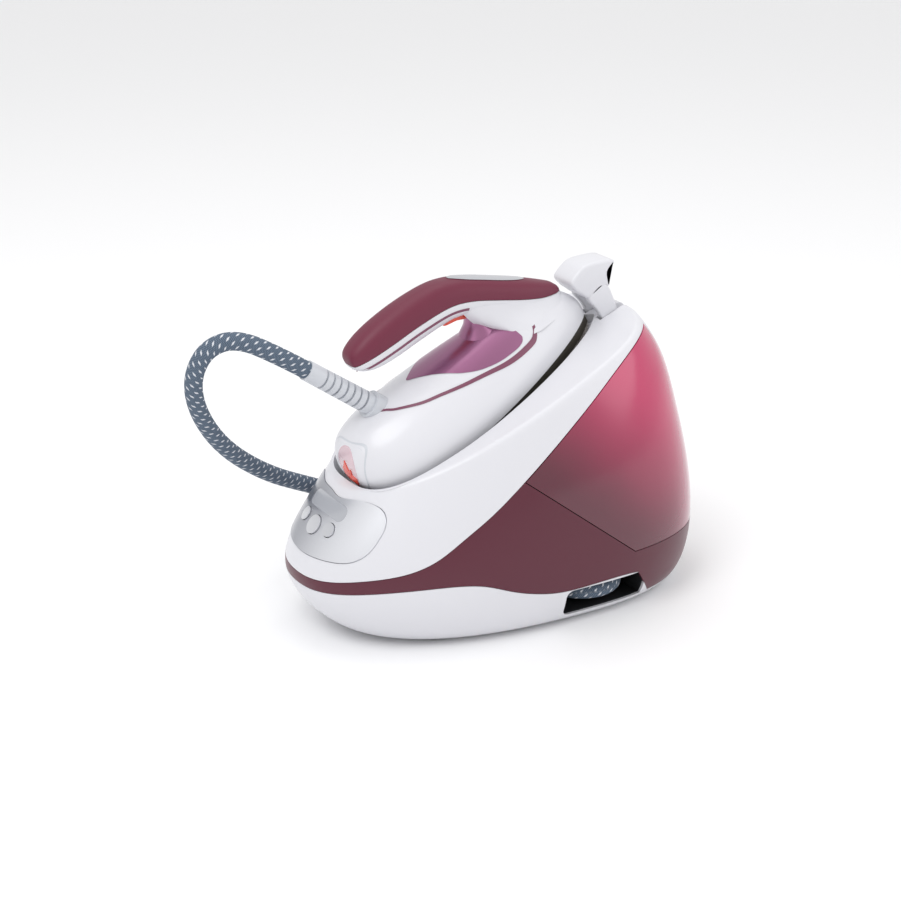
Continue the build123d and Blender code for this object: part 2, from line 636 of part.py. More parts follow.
# ---------------------------------------------------------------- inside the base
SEAT_LOW = TANK_FLOOR - TANK_GAP - DECK - 9.0
with BuildPart() as valve_seat:         # rubber-lipped socket in the shelf, under the tank's valve
    with BuildSketch(Plane.XY.offset(SEAT_LOW)):
        with Locations(VALVE_AT):
            Circle(SEAT_RADIUS)
    extrude(amount=TANK_FLOOR - TANK_GAP - SEAT_LOW)
    with BuildSketch(Plane.XY.offset(SEAT_LOW + 3)):
        with Locations(VALVE_AT):
            Circle(VALVE_NECK)
    extrude(amount=30, mode=Mode.SUBTRACT)
    with BuildSketch(Plane.XY.offset(SEAT_LOW - 1)):
        with Locations(VALVE_AT):
            Circle(PIPE_RADIUS)
    extrude(amount=30, mode=Mode.SUBTRACT)

BOILER_AT = at(-84, 0)[0]
BOILER_RADIUS = 50.0
BOILER_WALL = 1.6
BOILER_LOW = 24.0
BOILER_HEIGHT = 58.0
BOILER_CORNER = 14.0
with BuildPart() as boiler_form:
    with BuildSketch(Plane.XY.offset(BOILER_LOW)):
        with Locations((BOILER_AT, 0)):
            Circle(BOILER_RADIUS)
    extrude(amount=BOILER_HEIGHT)
    fillet(boiler_form.edges().filter_by(GeomType.CIRCLE), radius=BOILER_CORNER)
with BuildPart() as boiler:
    add(boiler_form.part)
    offset(amount=-BOILER_WALL, mode=Mode.SUBTRACT)
ELEMENT_RADIUS = 4.0
with BuildPart() as boiler_element:     # heating ring clamped under the boiler
    with BuildSketch(Plane(origin=(BOILER_AT + 28, 0, BOILER_LOW - ELEMENT_RADIUS), z_dir=(0, 1, 0))):
        Circle(ELEMENT_RADIUS)
    revolve(axis=Axis((BOILER_AT, 0, 0), (0, 0, 1)), revolution_arc=330)
with BuildPart() as boiler_thermostat:
    with BuildSketch(Plane.XY.offset(BOILER_LOW + BOILER_HEIGHT)):
        with Locations((BOILER_AT - 18, -14)):
            Circle(8)
    extrude(amount=6)
    with BuildSketch(Plane.XY.offset(BOILER_LOW + BOILER_HEIGHT + 6)):
        with Locations((BOILER_AT - 18, -14)):
            Rectangle(12, 5)
    extrude(amount=5)
VALVE_BOX = (26.0, 22.0, 24.0)
STEAM_AT = (BOILER_AT + 14, 14.0)
with BuildPart() as steam_valve:        # solenoid valve on the boiler's lid
    with BuildSketch(Plane.XY.offset(BOILER_LOW + BOILER_HEIGHT)):
        with Locations(STEAM_AT):
            Circle(7)
    extrude(amount=5)
    with BuildSketch(Plane.XY.offset(BOILER_LOW + BOILER_HEIGHT + 5)):
        with Locations(STEAM_AT):
            RectangleRounded(VALVE_BOX[0], VALVE_BOX[1], 3)
    extrude(amount=VALVE_BOX[2])
PUMP_AT = (at(137, 0)[0], 12.0)
PUMP_SIZE = (34.0, 52.0, 30.0)
PUMP_LOW = 12.0
with BuildPart() as pump:
    with BuildSketch(Plane.XY.offset(PUMP_LOW)):
        with Locations(PUMP_AT):
            RectangleRounded(PUMP_SIZE[0], PUMP_SIZE[1], 6)
    extrude(amount=PUMP_SIZE[2])
    with BuildSketch(Plane.XY.offset(PUMP_LOW)):
        with Locations(PUMP_AT):
            Rectangle(PUMP_SIZE[0] - 10, PUMP_SIZE[1] - 10)
    extrude(amount=FOOT_HEIGHT + WALL - PUMP_LOW)


def pipe(points, bends, radius):
    """A round pipe along straight runs joined by arcs."""
    with BuildPart() as run:
        with BuildLine() as route:
            FilletPolyline(*points, radius=bends)
        with BuildSketch(Plane(origin=route.line @ 0, z_dir=route.line % 0)):
            Circle(radius)
        sweep()
    return run.part


PIPE_UP = PUMP_LOW + PUMP_SIZE[2] + 4.5       # over the tunnel, under the tank's shelf
pump_top = PUMP_LOW + PUMP_SIZE[2]
feed_x = VALVE_AT[0]
with BuildPart() as water_pipe:         # tank valve's socket to the pump, then pump to boiler
    add(pipe([(feed_x, VALVE_AT[1], SEAT_LOW), (feed_x, VALVE_AT[1], 24),
              (feed_x, PUMP_AT[1] - PUMP_SIZE[1] / 2, 24)], 5.0, PIPE_RADIUS - 0.4))
    add(pipe([(PUMP_AT[0] - 8, PUMP_AT[1], pump_top), (PUMP_AT[0] - 8, PUMP_AT[1], PIPE_UP + 4),
              (BOILER_AT + BOILER_RADIUS + 6, PUMP_AT[1], PIPE_UP + 4),
              (BOILER_AT + BOILER_RADIUS - 4, 8, PIPE_UP + 4)], [4.0, 6.0], PIPE_RADIUS - 0.4))
    add(boiler_form.part, mode=Mode.SUBTRACT)

steam_start = (STEAM_AT[0], STEAM_AT[1] + VALVE_BOX[1] / 2, BOILER_LOW + BOILER_HEIGHT + 14)
with BuildPart() as steam_pipe:         # steam valve to the hose's anchor block
    add(pipe([steam_start, (steam_start[0], PIPE_Y - 14, steam_start[2]),
              (TUNNEL[0] - 32, PIPE_Y, 52), (TUNNEL[0] - 32, PIPE_Y, GLAND_AT[2]),
              (TUNNEL[0] + 6, PIPE_Y, GLAND_AT[2])], [10.0, 12.0, 8.0], PIPE_RADIUS - 0.4))

# ---------------------------------------------------------------- lock bail
BAIL_SIDE = [(108, 226), (103, 240), (90, 259), (74.5, 271.5), (67.5, 279), (79, 291), (86, 295),
             (113, 295), (115, 291.5), (107, 283), (113, 262), (126, 233)]
BAIL_BRIDGE = 262.0     # the loop closes over the nose above this height
BAIL_OUTSIDE = BAIL_INSIDE + BAIL_ARM
BAIL_EYE = 9.5
with BuildPart() as lock_bail:
    with BuildSketch(Plane.XZ):
        with BuildLine():
            Polyline(*BAIL_SIDE, BAIL_SIDE[0])
        make_face()
        with Locations(BAIL_PIVOT):
            Circle(BAIL_EYE)
    extrude(amount=BAIL_OUTSIDE, both=True)
    with BuildSketch(Plane.XZ):
        with BuildLine():
            Polyline((40, 200), (200, 200), (200, BAIL_BRIDGE + 9), (103, BAIL_BRIDGE + 9),
                     (90, BAIL_BRIDGE), (40, BAIL_BRIDGE), (40, 200))
        make_face()
    extrude(amount=BAIL_INSIDE, both=True, mode=Mode.SUBTRACT)
    add(pivot_rod(BAIL_PIN, BAIL_OUTSIDE + 1), mode=Mode.SUBTRACT)
with BuildPart() as bail_pin:
    add(pivot_rod(BAIL_PIN, BAIL_OUTSIDE))

# ---------------------------------------------------------------- iron
SIDE = Plane(origin=SOLE.origin, x_dir=SOLE.x_dir, z_dir=(0, -1, 0))      # along the sole, and up from it
# height above the ironing face, heel, nose, half width: the moulded cover over the sole
COVER = [(SKIRT_TOP, -2.0, 252.0, 56.0), (26, -5.0, 251.0, 55.0), (40, -4.0, 244.0, 48.5),
         (52, 1.0, 232.0, 39.0), (62, 14.0, 212.0, 26.0), (67.5, 34.0, 180.0, 12.0)]
SADDLE_TOP = [(88, 0), (99, 15), (122, 27), (148, 35), (170, 37), (184, 30), (189, 12), (189, 0)]
STRIPE_WIDTH = 3.2
STRIPE = [(62, 13), (72, 24), (90, 33), (128, 41), (165, 43), (187, 37), (199, 22)]
SADDLE_THICK = 0.9


def cover_form(inset=0.0):
    """The cover's outer form, or its form drawn in all round."""
    with BuildPart() as form:
        for height, heel, nose, half in COVER:
            top = inset if height == COVER[-1][0] else 0.0
            with BuildSketch(SOLE.offset(height - top)):
                add(sole_plan(heel + inset, nose - inset, half - inset))
        loft()
    return form.part


def profile(points, half):
    """A closed outline in the iron's side view, run across its width."""
    with BuildPart() as block:
        with BuildSketch(SIDE):
            with BuildLine():
                Spline(*points, periodic=True)
            make_face()
        extrude(amount=half, both=True)
    return block.part


def side_block(corners, half):
    with BuildPart() as block:
        with BuildSketch(SIDE):
            with BuildLine():
                Polyline(*corners, corners[0])
            make_face()
        extrude(amount=half, both=True)
    return block.part


def side_rod(centre, radius, half):
    with BuildPart() as rod:
        with BuildSketch(SIDE):
            with Locations(centre):
                Circle(radius)
        extrude(amount=half, both=True)
    return rod.part


def from_above(points, low=30.0, high=100.0):
    """A block with a symmetric smooth plan, given as its half from the heel end to the nose end."""
    with BuildPart() as block:
        with BuildSketch(SOLE.offset(low)):
            with BuildLine():
                Spline(*points)
                Spline(*[(x, -y) for x, y in points])
            make_face()
        extrude(amount=high - low)
    return block.part


VENT_RADIUS = 1.4
VENT_ROWS = (0.34, 0.72)      # rows of vents, as shares of the half width
CHAMBER_INSET = 11.0
SKIRT_INSET = 6.0
CHAMBER_HEIGHT = 12.0
GROOVE_DEPTH = 3.0


def half_width(along):
    """Half the sole's width at a distance from its heel."""
    if along < SOLE_WIDEST:
        return IRON_WIDTH / 2 * (1 - (1 - along / SOLE_WIDEST) ** HEEL_POWER) ** (1 / HEEL_POWER)
    share = (along - SOLE_WIDEST) / (IRON_LENGTH - SOLE_WIDEST)
    return IRON_WIDTH / 2 * (1 - share ** TIP_POWER) ** (1 / TIP_POWER)


VENTS = [(along, side * row * half_width(along)) for along in range(40, 225, 14) for row in VENT_ROWS
         for side in (-1, 1)]
with BuildPart() as soleplate:
    add(sole_block(0.0, 0.0, SOLE_THICK))
    with BuildSketch(SOLE.offset(-1)):
        with Locations(VENTS):
            Circle(VENT_RADIUS)
    extrude(amount=SOLE_THICK + 2, mode=Mode.SUBTRACT)
with BuildPart() as steam_chamber:
    add(sole_block(-CHAMBER_INSET, SOLE_THICK, SOLE_THICK + CHAMBER_HEIGHT))
    with BuildSketch(SOLE.offset(SOLE_THICK)):
        with Locations(VENTS):
            Circle(VENT_RADIUS + 1.6)
    extrude(amount=GROOVE_DEPTH, mode=Mode.SUBTRACT)
CHAMBER_TOP = SOLE_THICK + CHAMBER_HEIGHT
HEATER_RADIUS = 3.6
with BuildPart() as sole_element:
    with BuildLine(SOLE.offset(CHAMBER_TOP + HEATER_RADIUS)) as heater_route:
        FilletPolyline((38, 30), (150, 30), (205, 0), (150, -30), (38, -30), radius=10)
    with BuildSketch(Plane(origin=heater_route.line @ 0, z_dir=heater_route.line % 0)):
        Circle(HEATER_RADIUS)
    sweep()
with BuildPart() as iron_thermostat:
    with BuildSketch(SOLE.offset(CHAMBER_TOP)):
        with Locations((112, 0)):
            Circle(9)
    extrude(amount=8)
    with BuildSketch(SOLE.offset(CHAMBER_TOP)):
        with Locations((82, 0)):
            Rectangle(22, 7)
    extrude(amount=6)
with BuildPart() as heat_skirt:
    add(sole_block(0.8, SOLE_THICK, SKIRT_TOP))
    add(sole_block(-SKIRT_INSET, SOLE_THICK, SKIRT_TOP), mode=Mode.SUBTRACT)

COVER_FORM = cover_form()
COVER_OVER = cover_form(-SADDLE_THICK)
FRAME_SIDE = [(44, 110), (47, 113.5), (58, 112), (80, 111.5), (110, 110.5), (132, 108), (150, 102.5),
              (170, 90.5), (190, 76), (210, 62), (225, 53), (237, 49), (243, 40), (240, 26), (222, 20),
              (196, 20), (184, 26), (182, 40), (175, 54), (165, 67), (156, 79), (149, 89), (133, 93.5),
              (110, 95), (84, 96), (64, 98.5), (50, 104)]
GRIP_SIDE = [(42, 119), (46.5, 126), (58, 130.5), (78, 133), (100, 133.2), (122, 131.5), (143, 126.5),
             (164, 116), (185, 101.5), (206, 85), (224, 69), (238.5, 54.5), (231, 51.2), (217, 58.6),
             (200, 70), (180, 84.6), (162, 97.2), (146, 105.4), (130, 109.3), (105, 111.6), (75, 112.6),
             (55, 113.6), (45, 114.6)]
PANEL_SIDE = [(150, 140), (150, 119.5), (166, 112), (186, 98.5), (206, 82), (217, 72), (230, 90), (190, 140)]
PANEL_HALF = 9.0
TRIGGER_AT = (159.5, 92.0)
TRIGGER_SIDE = [(163.5, 93), (160, 96), (150, 96.5), (138, 96.8), (130.5, 95.5), (129, 92.5), (133, 90),
                (143, 87.5), (152, 84), (158, 86.5), (163, 89)]
TRIGGER_HALF = 6.0
TRIGGER_ROOM = [(125.5, 80), (166, 80), (168, 96), (160, 101), (125.5, 101)]
SWITCH_SIDE = [(130, 101), (143, 101), (143, 105.5), (130, 105.5)]
SWITCH_HALF = 4.0

# both forms also taper to the nose in plan, inside the cover's plan
frame_form = profile(FRAME_SIDE, HANDLE_WIDTH / 2) & sole_block(-5.0, 15, 140)
grip_form = profile(GRIP_SIDE, HANDLE_WIDTH / 2) & sole_block(-3.0, 15, 140)
with BuildPart() as handle_frame:
    add(frame_form)
    add(grip_form, mode=Mode.SUBTRACT)
    add(side_block(TRIGGER_ROOM, TRIGGER_HALF + APART), mode=Mode.SUBTRACT)
    add(side_block(SWITCH_SIDE, SWITCH_HALF), mode=Mode.SUBTRACT)
    add(side_rod(TRIGGER_AT, TRIGGER_PIN, HANDLE_WIDTH / 2 - 4), mode=Mode.SUBTRACT)
    add(sole_block(30, 0, 30), mode=Mode.SUBTRACT)
with BuildPart() as grip:
    add(grip_form)
    add(side_block(PANEL_SIDE, PANEL_HALF), mode=Mode.SUBTRACT)
    add(handle_frame.part, mode=Mode.SUBTRACT)
with BuildPart() as handle_panel:
    add(grip_form)
    add(side_block(PANEL_SIDE, PANEL_HALF), mode=Mode.INTERSECT)
with BuildPart() as trigger_pin:
    add(side_rod(TRIGGER_AT, TRIGGER_PIN, HANDLE_WIDTH / 2 - 4))
with BuildPart() as steam_trigger:
    add(profile(TRIGGER_SIDE, TRIGGER_HALF))
    add(side_rod(TRIGGER_AT, TRIGGER_PIN + RUNNING, HANDLE_WIDTH), mode=Mode.SUBTRACT)
with BuildPart() as trigger_switch:
    add(side_block(SWITCH_SIDE, SWITCH_HALF))
    add(side_rod((138, 101.0), 0.8, SWITCH_HALF - 1))

CUFF_FOOT = (45.0, 65.0)      # the hose cuff's foot, along the sole and up from it
CUFF_LEAN = 27.0              # its lean towards the heel, from upright
CUFF_LENGTH = 78.0
CUFF_THICK = 9.4
CUFF_END = 8.6
CUFF_COLLAR = 12.0
lean = math.radians(CUFF_LEAN)
cuff_way = (SOLE.z_dir * math.cos(lean)) - (SOLE.x_dir * math.sin(lean))
CUFF = Plane(origin=SOLE.from_local_coords((CUFF_FOOT[0], 0, CUFF_FOOT[1])), x_dir=(0, 1, 0), z_dir=cuff_way)


def cuff_rod(radius, low, high, end=None):
    with BuildPart() as rod:
        with BuildSketch(CUFF.offset(low)):
            Circle(radius)
        with BuildSketch(CUFF.offset(high)):
            Circle(end or radius)
        loft()
    return rod.part


with BuildPart() as hose_cuff:
    add(cuff_rod(CUFF_THICK, -6, CUFF_LENGTH, CUFF_END))
    add(cuff_rod(CUFF_COLLAR, -6, 9))
    add(cuff_rod(HOSE_RADIUS, CUFF_LENGTH - CUFF_GRASP, CUFF_LENGTH + 1), mode=Mode.SUBTRACT)
    for step in range(CUFF_RIBS):
        height = 16 + step * (CUFF_LENGTH - 34) / (CUFF_RIBS - 1)
        add(cuff_rod(CUFF_THICK + 2, height, height + 2.2) - cuff_rod(CUFF_END - 2.0, height, height + 2.2),
            mode=Mode.SUBTRACT)

HEEL_WINDOW = (40.0, 54.0, 30.0)      # centre above the sole, width, height
HEEL_PLANE = Plane(origin=SOLE.from_local_coords((-20, 0, HEEL_WINDOW[0])), x_dir=(0, 1, 0), z_dir=SOLE.x_dir)


def heel_prism(extra, deep):
    with BuildPart() as block:
        with BuildSketch(HEEL_PLANE):
            RectangleRounded(HEEL_WINDOW[1] + 2 * extra, HEEL_WINDOW[2] + 2 * extra, 12 + extra)
        extrude(amount=deep)
    return block.part


cover_hollow = cover_form(SKIN)
with BuildPart() as iron_cover:
    add(COVER_FORM)
    add(cover_hollow, mode=Mode.SUBTRACT)
    add(side_block([(-30, SKIRT_TOP - 1), (280, SKIRT_TOP - 1), (280, SKIRT_TOP), (-30, SKIRT_TOP)], 80),
        mode=Mode.SUBTRACT)
    add(frame_form, mode=Mode.SUBTRACT)
    add(grip_form, mode=Mode.SUBTRACT)
    add(cuff_rod(CUFF_COLLAR, -20, 40), mode=Mode.SUBTRACT)
    add(heel_prism(0.0, 45), mode=Mode.SUBTRACT)
with BuildPart() as heel_window:
    add(COVER_FORM - cover_hollow)
    add(heel_prism(0.0, 45), mode=Mode.INTERSECT)
with BuildPart() as heel_reflector:     # faceted red block behind the clear window
    with BuildSketch(SOLE.offset(HEEL_WINDOW[0] - 12)):
        Polygon((4, -17), (11, -20), (16, 0), (11, 20), (4, 17), (2.5, 0), align=None)
    with BuildSketch(SOLE.offset(HEEL_WINDOW[0] + 12)):
        Polygon((6, -6), (11, -8), (14, 0), (11, 8), (6, 6), (4.5, 0), align=None)
    loft(ruled=True)
with BuildPart() as saddle:
    add(COVER_OVER - COVER_FORM)
    add(from_above(SADDLE_TOP), mode=Mode.INTERSECT)
    add(frame_form, mode=Mode.SUBTRACT)
with BuildPart() as trim_stripes:
    outside = [(x, y + STRIPE_WIDTH) for x, y in STRIPE]
    for side in (-1, 1):
        with BuildSketch(SOLE.offset(20)):
            with BuildLine():
                Spline(*[(x, side * y) for x, y in STRIPE])
                Spline(*[(x, side * y) for x, y in outside])
                Line((STRIPE[0][0], side * STRIPE[0][1]), (outside[0][0], side * outside[0][1]))
                Line((STRIPE[-1][0], side * STRIPE[-1][1]), (outside[-1][0], side * outside[-1][1]))
            make_face()
        extrude(amount=60)
    add(COVER_OVER - COVER_FORM, mode=Mode.INTERSECT)
    add(frame_form, mode=Mode.SUBTRACT)

# ---------------------------------------------------------------- steam hose
cuff_end = CUFF.from_local_coords((0, 0, CUFF_LENGTH - CUFF_GRASP))
cuff_entry = CUFF.from_local_coords((0, 0, CUFF_LENGTH - CUFF_GRASP + 36))     # on the cuff's own line
HOSE_POINTS = [
    GLAND_AT, (GLAND_AT[0], -6, GLAND_AT[2]), (22, -78.5, 24.6), (53, -96.5, 24.8), (84, -78.5, 24.6), (84, -8, 24.4),
    (78, 62, 24.8), (78, 120, 20), (98, 172, 9), (132, 222, 8.2), (140, 280, 8.4), (98, 316, 8.2),
    (44, 300, 8.6), (18, 248, 11), (-12, 190, 24), (-66, 140, 54), (-128, 110, 88), (-180, 86, 118),
    (-228, 62, 158), (-258, 41, 201), (-268, 27, 237), (-258, 18, 264), (-235, 9, 272), (cuff_entry.X, 0, cuff_entry.Z),
    (cuff_end.X, 0, cuff_end.Z)]


def corner_radii(points):
    """Each corner's arc takes 0.45 of its shorter run."""
    radii = []
    for before, corner, after in zip(points, points[1:], points[2:]):
        into = Vector(*corner) - Vector(*before)
        out = Vector(*after) - Vector(*corner)
        turn = math.radians(into.get_angle(out))
        radii.append(0.45 * min(into.length, out.length) / math.tan(turn / 2))
    return radii


hose_radii = corner_radii(HOSE_POINTS)
with BuildPart() as steam_hose:
    with BuildLine() as hose_route:
        FilletPolyline(*HOSE_POINTS, radius=hose_radii)
    with BuildSketch(Plane(origin=hose_route.line @ 0, z_dir=hose_route.line % 0)):
        Circle(HOSE_RADIUS)
    sweep()
hose_length = sum(edge.length for edge in hose_route.edges())
print("cuff entry and end", cuff_entry, cuff_end)
print("hose length", round(hose_length), "radii", [round(r) for r in hose_radii])
print("hose volume over section times length",
      round(steam_hose.part.volume / (math.pi * HOSE_RADIUS ** 2 * hose_length), 4))

# ---------------------------------------------------------------- write one file for each piece
PIECES = {
    "lower_shell": lower_shell, "middle_shell": middle_shell, "top_shell": top_shell,
    "cradle_tray": cradle_tray, "front_rest": rests["front_rest"], "rear_rest": rests["rear_rest"],
    "fascia": fascia, "indicator_lens": indicator_lens, "main_button": buttons["main_button"],
    "near_button": buttons["near_button"], "far_button": buttons["far_button"],
    "control_board": control_board, "hose_tunnel": hose_tunnel, "hose_anchor": hose_anchor,
    "hose_gland": hose_gland, "mains_inlet": mains_inlet, "feet": feet, "case_screws": case_screws,
    "boiler": boiler, "boiler_element": boiler_element, "boiler_thermostat": boiler_thermostat,
    "steam_valve": steam_valve, "pump": pump, "water_pipe": water_pipe, "steam_pipe": steam_pipe,
    "valve_seat": valve_seat, "lock_bail": lock_bail, "bail_pin": bail_pin,
    "tank_body": tank_body, "flap_hinge": flap_hinge, "flap_pin": flap_pin, "tank_flap": tank_flap,
    "tank_grip": tank_grip, "tank_valve": tank_valve,
    "soleplate": soleplate, "steam_chamber": steam_chamber, "sole_element": sole_element,
    "iron_thermostat": iron_thermostat, "heat_skirt": heat_skirt, "iron_cover": iron_cover,
    "saddle": saddle, "trim_stripes": trim_stripes, "handle_frame": handle_frame, "grip": grip,
    "handle_panel": handle_panel, "steam_trigger": steam_trigger, "trigger_pin": trigger_pin,
    "trigger_switch": trigger_switch, "heel_window": heel_window, "heel_reflector": heel_reflector,
    "hose_cuff": hose_cuff, "steam_hose": steam_hose,
}
for name, piece in PIECES.items():
    piece.part.label = name
    export_step(piece.part, f"parts/{name}.step")
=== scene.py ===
# %% [markdown]
# # Steam generator iron
# A boiler base with a tilted cradle carries a hose-fed iron under a lock bail, with a pull-out water
# tank at the rear. The CAD frame gives every position; this script gives it its looks, in metres.

# %% Setup
import json
import math

import bmesh
import bpy
import numpy as np
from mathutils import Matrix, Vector


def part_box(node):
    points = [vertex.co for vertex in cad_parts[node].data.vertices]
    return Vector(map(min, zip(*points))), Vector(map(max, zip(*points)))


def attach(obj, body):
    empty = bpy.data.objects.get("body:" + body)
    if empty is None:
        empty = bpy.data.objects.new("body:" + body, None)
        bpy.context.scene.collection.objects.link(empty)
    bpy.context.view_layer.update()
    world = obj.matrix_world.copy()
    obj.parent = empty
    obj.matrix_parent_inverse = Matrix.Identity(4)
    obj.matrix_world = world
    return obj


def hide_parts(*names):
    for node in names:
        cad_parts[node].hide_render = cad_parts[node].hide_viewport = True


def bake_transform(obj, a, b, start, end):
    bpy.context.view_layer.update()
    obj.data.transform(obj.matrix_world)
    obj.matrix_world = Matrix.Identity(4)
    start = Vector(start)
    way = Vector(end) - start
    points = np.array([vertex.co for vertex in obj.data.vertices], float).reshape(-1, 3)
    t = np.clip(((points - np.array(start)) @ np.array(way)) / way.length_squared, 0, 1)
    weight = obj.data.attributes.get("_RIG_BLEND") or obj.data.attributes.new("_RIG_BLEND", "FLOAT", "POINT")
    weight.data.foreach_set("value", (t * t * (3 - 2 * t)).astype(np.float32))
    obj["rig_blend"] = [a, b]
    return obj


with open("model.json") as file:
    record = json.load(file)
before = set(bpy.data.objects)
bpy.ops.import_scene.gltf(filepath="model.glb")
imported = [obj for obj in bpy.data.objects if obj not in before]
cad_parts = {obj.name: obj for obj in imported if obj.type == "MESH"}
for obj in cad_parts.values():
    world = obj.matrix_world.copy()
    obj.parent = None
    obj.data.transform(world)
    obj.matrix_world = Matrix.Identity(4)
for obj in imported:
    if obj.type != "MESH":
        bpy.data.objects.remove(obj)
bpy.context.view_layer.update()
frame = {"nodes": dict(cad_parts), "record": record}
nodes = frame["nodes"]
slots = {part["node"]: part["material_slot"] for part in frame["record"]["subparts"]}
MM = 0.001

# %% [markdown]
# ## Shader maths
# Each finish is a handful of sums on coordinates and noise. A value that knows its own node tree lets
# them be written as sums, so a finish reads like its description.

# %% Shader helpers
DISPLAY_KNEE = 0.04045
COAT_ROUGHNESS = 0.12


def linear(red, green, blue):
    """A display colour, 0 to 255 each, as the linear colour that shaders take."""
    shares = [level / 255 for level in (red, green, blue)]
    return tuple((share / 12.92) if share <= DISPLAY_KNEE else ((share + 0.055) / 1.055) ** 2.4
                 for share in shares)


class Value:
    """A number socket with operators that add Math nodes to its tree."""

    def __init__(self, finish, socket):
        self.finish = finish
        self.socket = socket

    def math(self, operation, *others):
        node = self.finish.tree.nodes.new("ShaderNodeMath")
        node.operation = operation
        for place, value in enumerate((self, *others)):
            self.finish.feed(node.inputs[place], value)
        return Value(self.finish, node.outputs[0])

    def __add__(self, other):
        return self.math("ADD", other)

    def __mul__(self, other):
        return self.math("MULTIPLY", other)

    def __sub__(self, other):
        return self.math("SUBTRACT", other)

    def __rsub__(self, other):
        return self * -1.0 + other

    def __truediv__(self, other):
        return self.math("DIVIDE", other)

    def step(self, low, high):
        """0 below low, 1 above high, smooth between."""
        node = self.finish.tree.nodes.new("ShaderNodeMapRange")
        node.interpolation_type = "SMOOTHSTEP"
        self.finish.feed(node.inputs["Value"], self)
        node.inputs["From Min"].default_value = low
        node.inputs["From Max"].default_value = high
        return Value(self.finish, node.outputs["Result"])


class Finish:
    """A material with one Principled shader and named parts of the object's coordinates."""

    def __init__(self, name, colour, roughness=0.4, metallic=0.0, coat=0.0, alpha=1.0, **constants):
        self.material = bpy.data.materials.new(name)
        self.material.use_nodes = True
        self.tree = self.material.node_tree
        self.shader = self.tree.nodes["Principled BSDF"]
        self.colour(colour)
        self.feed(self.shader.inputs["Roughness"], roughness)
        self.feed(self.shader.inputs["Metallic"], metallic)
        self.feed(self.shader.inputs["Coat Weight"], coat)
        self.feed(self.shader.inputs["Alpha"], alpha)
        self.shader.inputs["Coat Roughness"].default_value = COAT_ROUGHNESS
        for socket, number in constants.items():
            self.shader.inputs[socket.replace("_", " ")].default_value = number

    def feed(self, socket, value):
        """Sets a socket from a number, a colour, a Value or another socket."""
        if isinstance(value, Value):
            self.tree.links.new(value.socket, socket)
        elif isinstance(value, bpy.types.NodeSocket):
            self.tree.links.new(value, socket)
        elif isinstance(value, tuple):
            socket.default_value = (*value, 1.0) if len(socket.default_value) == 4 else value
        else:
            socket.default_value = value

    def colour(self, colour):
        self.feed(self.shader.inputs["Base Color"], colour)

    def node(self, kind, output, settings=None, **inputs):
        """Any other node: its settings, its inputs by name, and the output that is wanted."""
        node = self.tree.nodes.new(kind)
        for name, value in (settings or {}).items():
            setattr(node, name, value)
        for name, value in inputs.items():
            self.feed(node.inputs[name.replace("_", " ")], value)
        return node.outputs[output]

    def position(self):
        return self.node("ShaderNodeTexCoord", "Object")

    def axes(self):
        """The object's coordinates in millimetres, as three values."""
        split = self.tree.nodes.new("ShaderNodeSeparateXYZ")
        self.feed(split.inputs[0], self.position())
        return [Value(self, split.outputs[axis]) * 1000.0 for axis in "XYZ"]

    def noise(self, scale, detail=2.0):
        return Value(self, self.node("ShaderNodeTexNoise", "Fac", Vector=self.position(), Scale=scale,
                                     Detail=detail))

    def mix(self, factor, low, high):
        node = self.tree.nodes.new("ShaderNodeMix")
        node.data_type = "RGBA"
        self.feed(node.inputs["Factor"], factor)
        self.feed(node.inputs[6], low)
        self.feed(node.inputs[7], high)
        return node.outputs[2]

    def bump(self, height, strength=0.2, distance=0.0003):
        normal = self.node("ShaderNodeBump", "Normal", Height=height, Strength=strength, Distance=distance)
        self.feed(self.shader.inputs["Normal"], normal)


# %% [markdown]
# ## Finishes
# Moulded plastics have a faint unevenness in their gloss and almost no texture. The lacquered panels
# hold fine metal flakes under painted shade that runs across them. The window in the heel is the one finish
# that lets some light through.

# %% Plastics
finishes = {}
GLOSS_PATCHES = 55.0
GLOSS_WANDER = 0.10


def plastic(slot, colour, roughness=0.32, coat=0.25, grain=1400.0, grain_depth=0.04, **constants):
    """A moulded plastic: gloss that wanders a little, and a fine grain."""
    finish = Finish(slot, colour, coat=coat, **constants)
    gloss = finish.noise(GLOSS_PATCHES) * GLOSS_WANDER
    finish.feed(finish.shader.inputs["Roughness"], gloss + (roughness - GLOSS_WANDER / 2))
    finish.bump(finish.noise(grain), strength=grain_depth, distance=0.0002)
    finishes[slot] = finish


plastic("white_plastic", linear(214, 214, 219), roughness=0.36)
plastic("maroon_plastic", linear(82, 14, 38), roughness=0.34, coat=0.1)
plastic("maroon_line", linear(118, 62, 86), roughness=0.36, coat=0.3)
plastic("grip_maroon", linear(104, 28, 54), roughness=0.50, coat=0.0, grain=2600.0, grain_depth=0.12)
plastic("flap_pink", linear(150, 78, 100), roughness=0.22, coat=0.4)
plastic("window_pink", linear(236, 196, 204), roughness=0.10, coat=0.8, alpha=0.45)
plastic("red_plastic", linear(214, 66, 44), roughness=0.26, coat=0.4)
plastic("grey_plastic", linear(196, 199, 205), roughness=0.42, coat=0.1)
plastic("lens_grey", linear(168, 170, 176), roughness=0.16, coat=0.6)
plastic("skirt_brown", linear(52, 47, 38), roughness=0.5, coat=0.0)
plastic("black_plastic", linear(30, 30, 33), roughness=0.55, coat=0.0)
plastic("board_green", linear(40, 110, 70), roughness=0.4, coat=0.2)


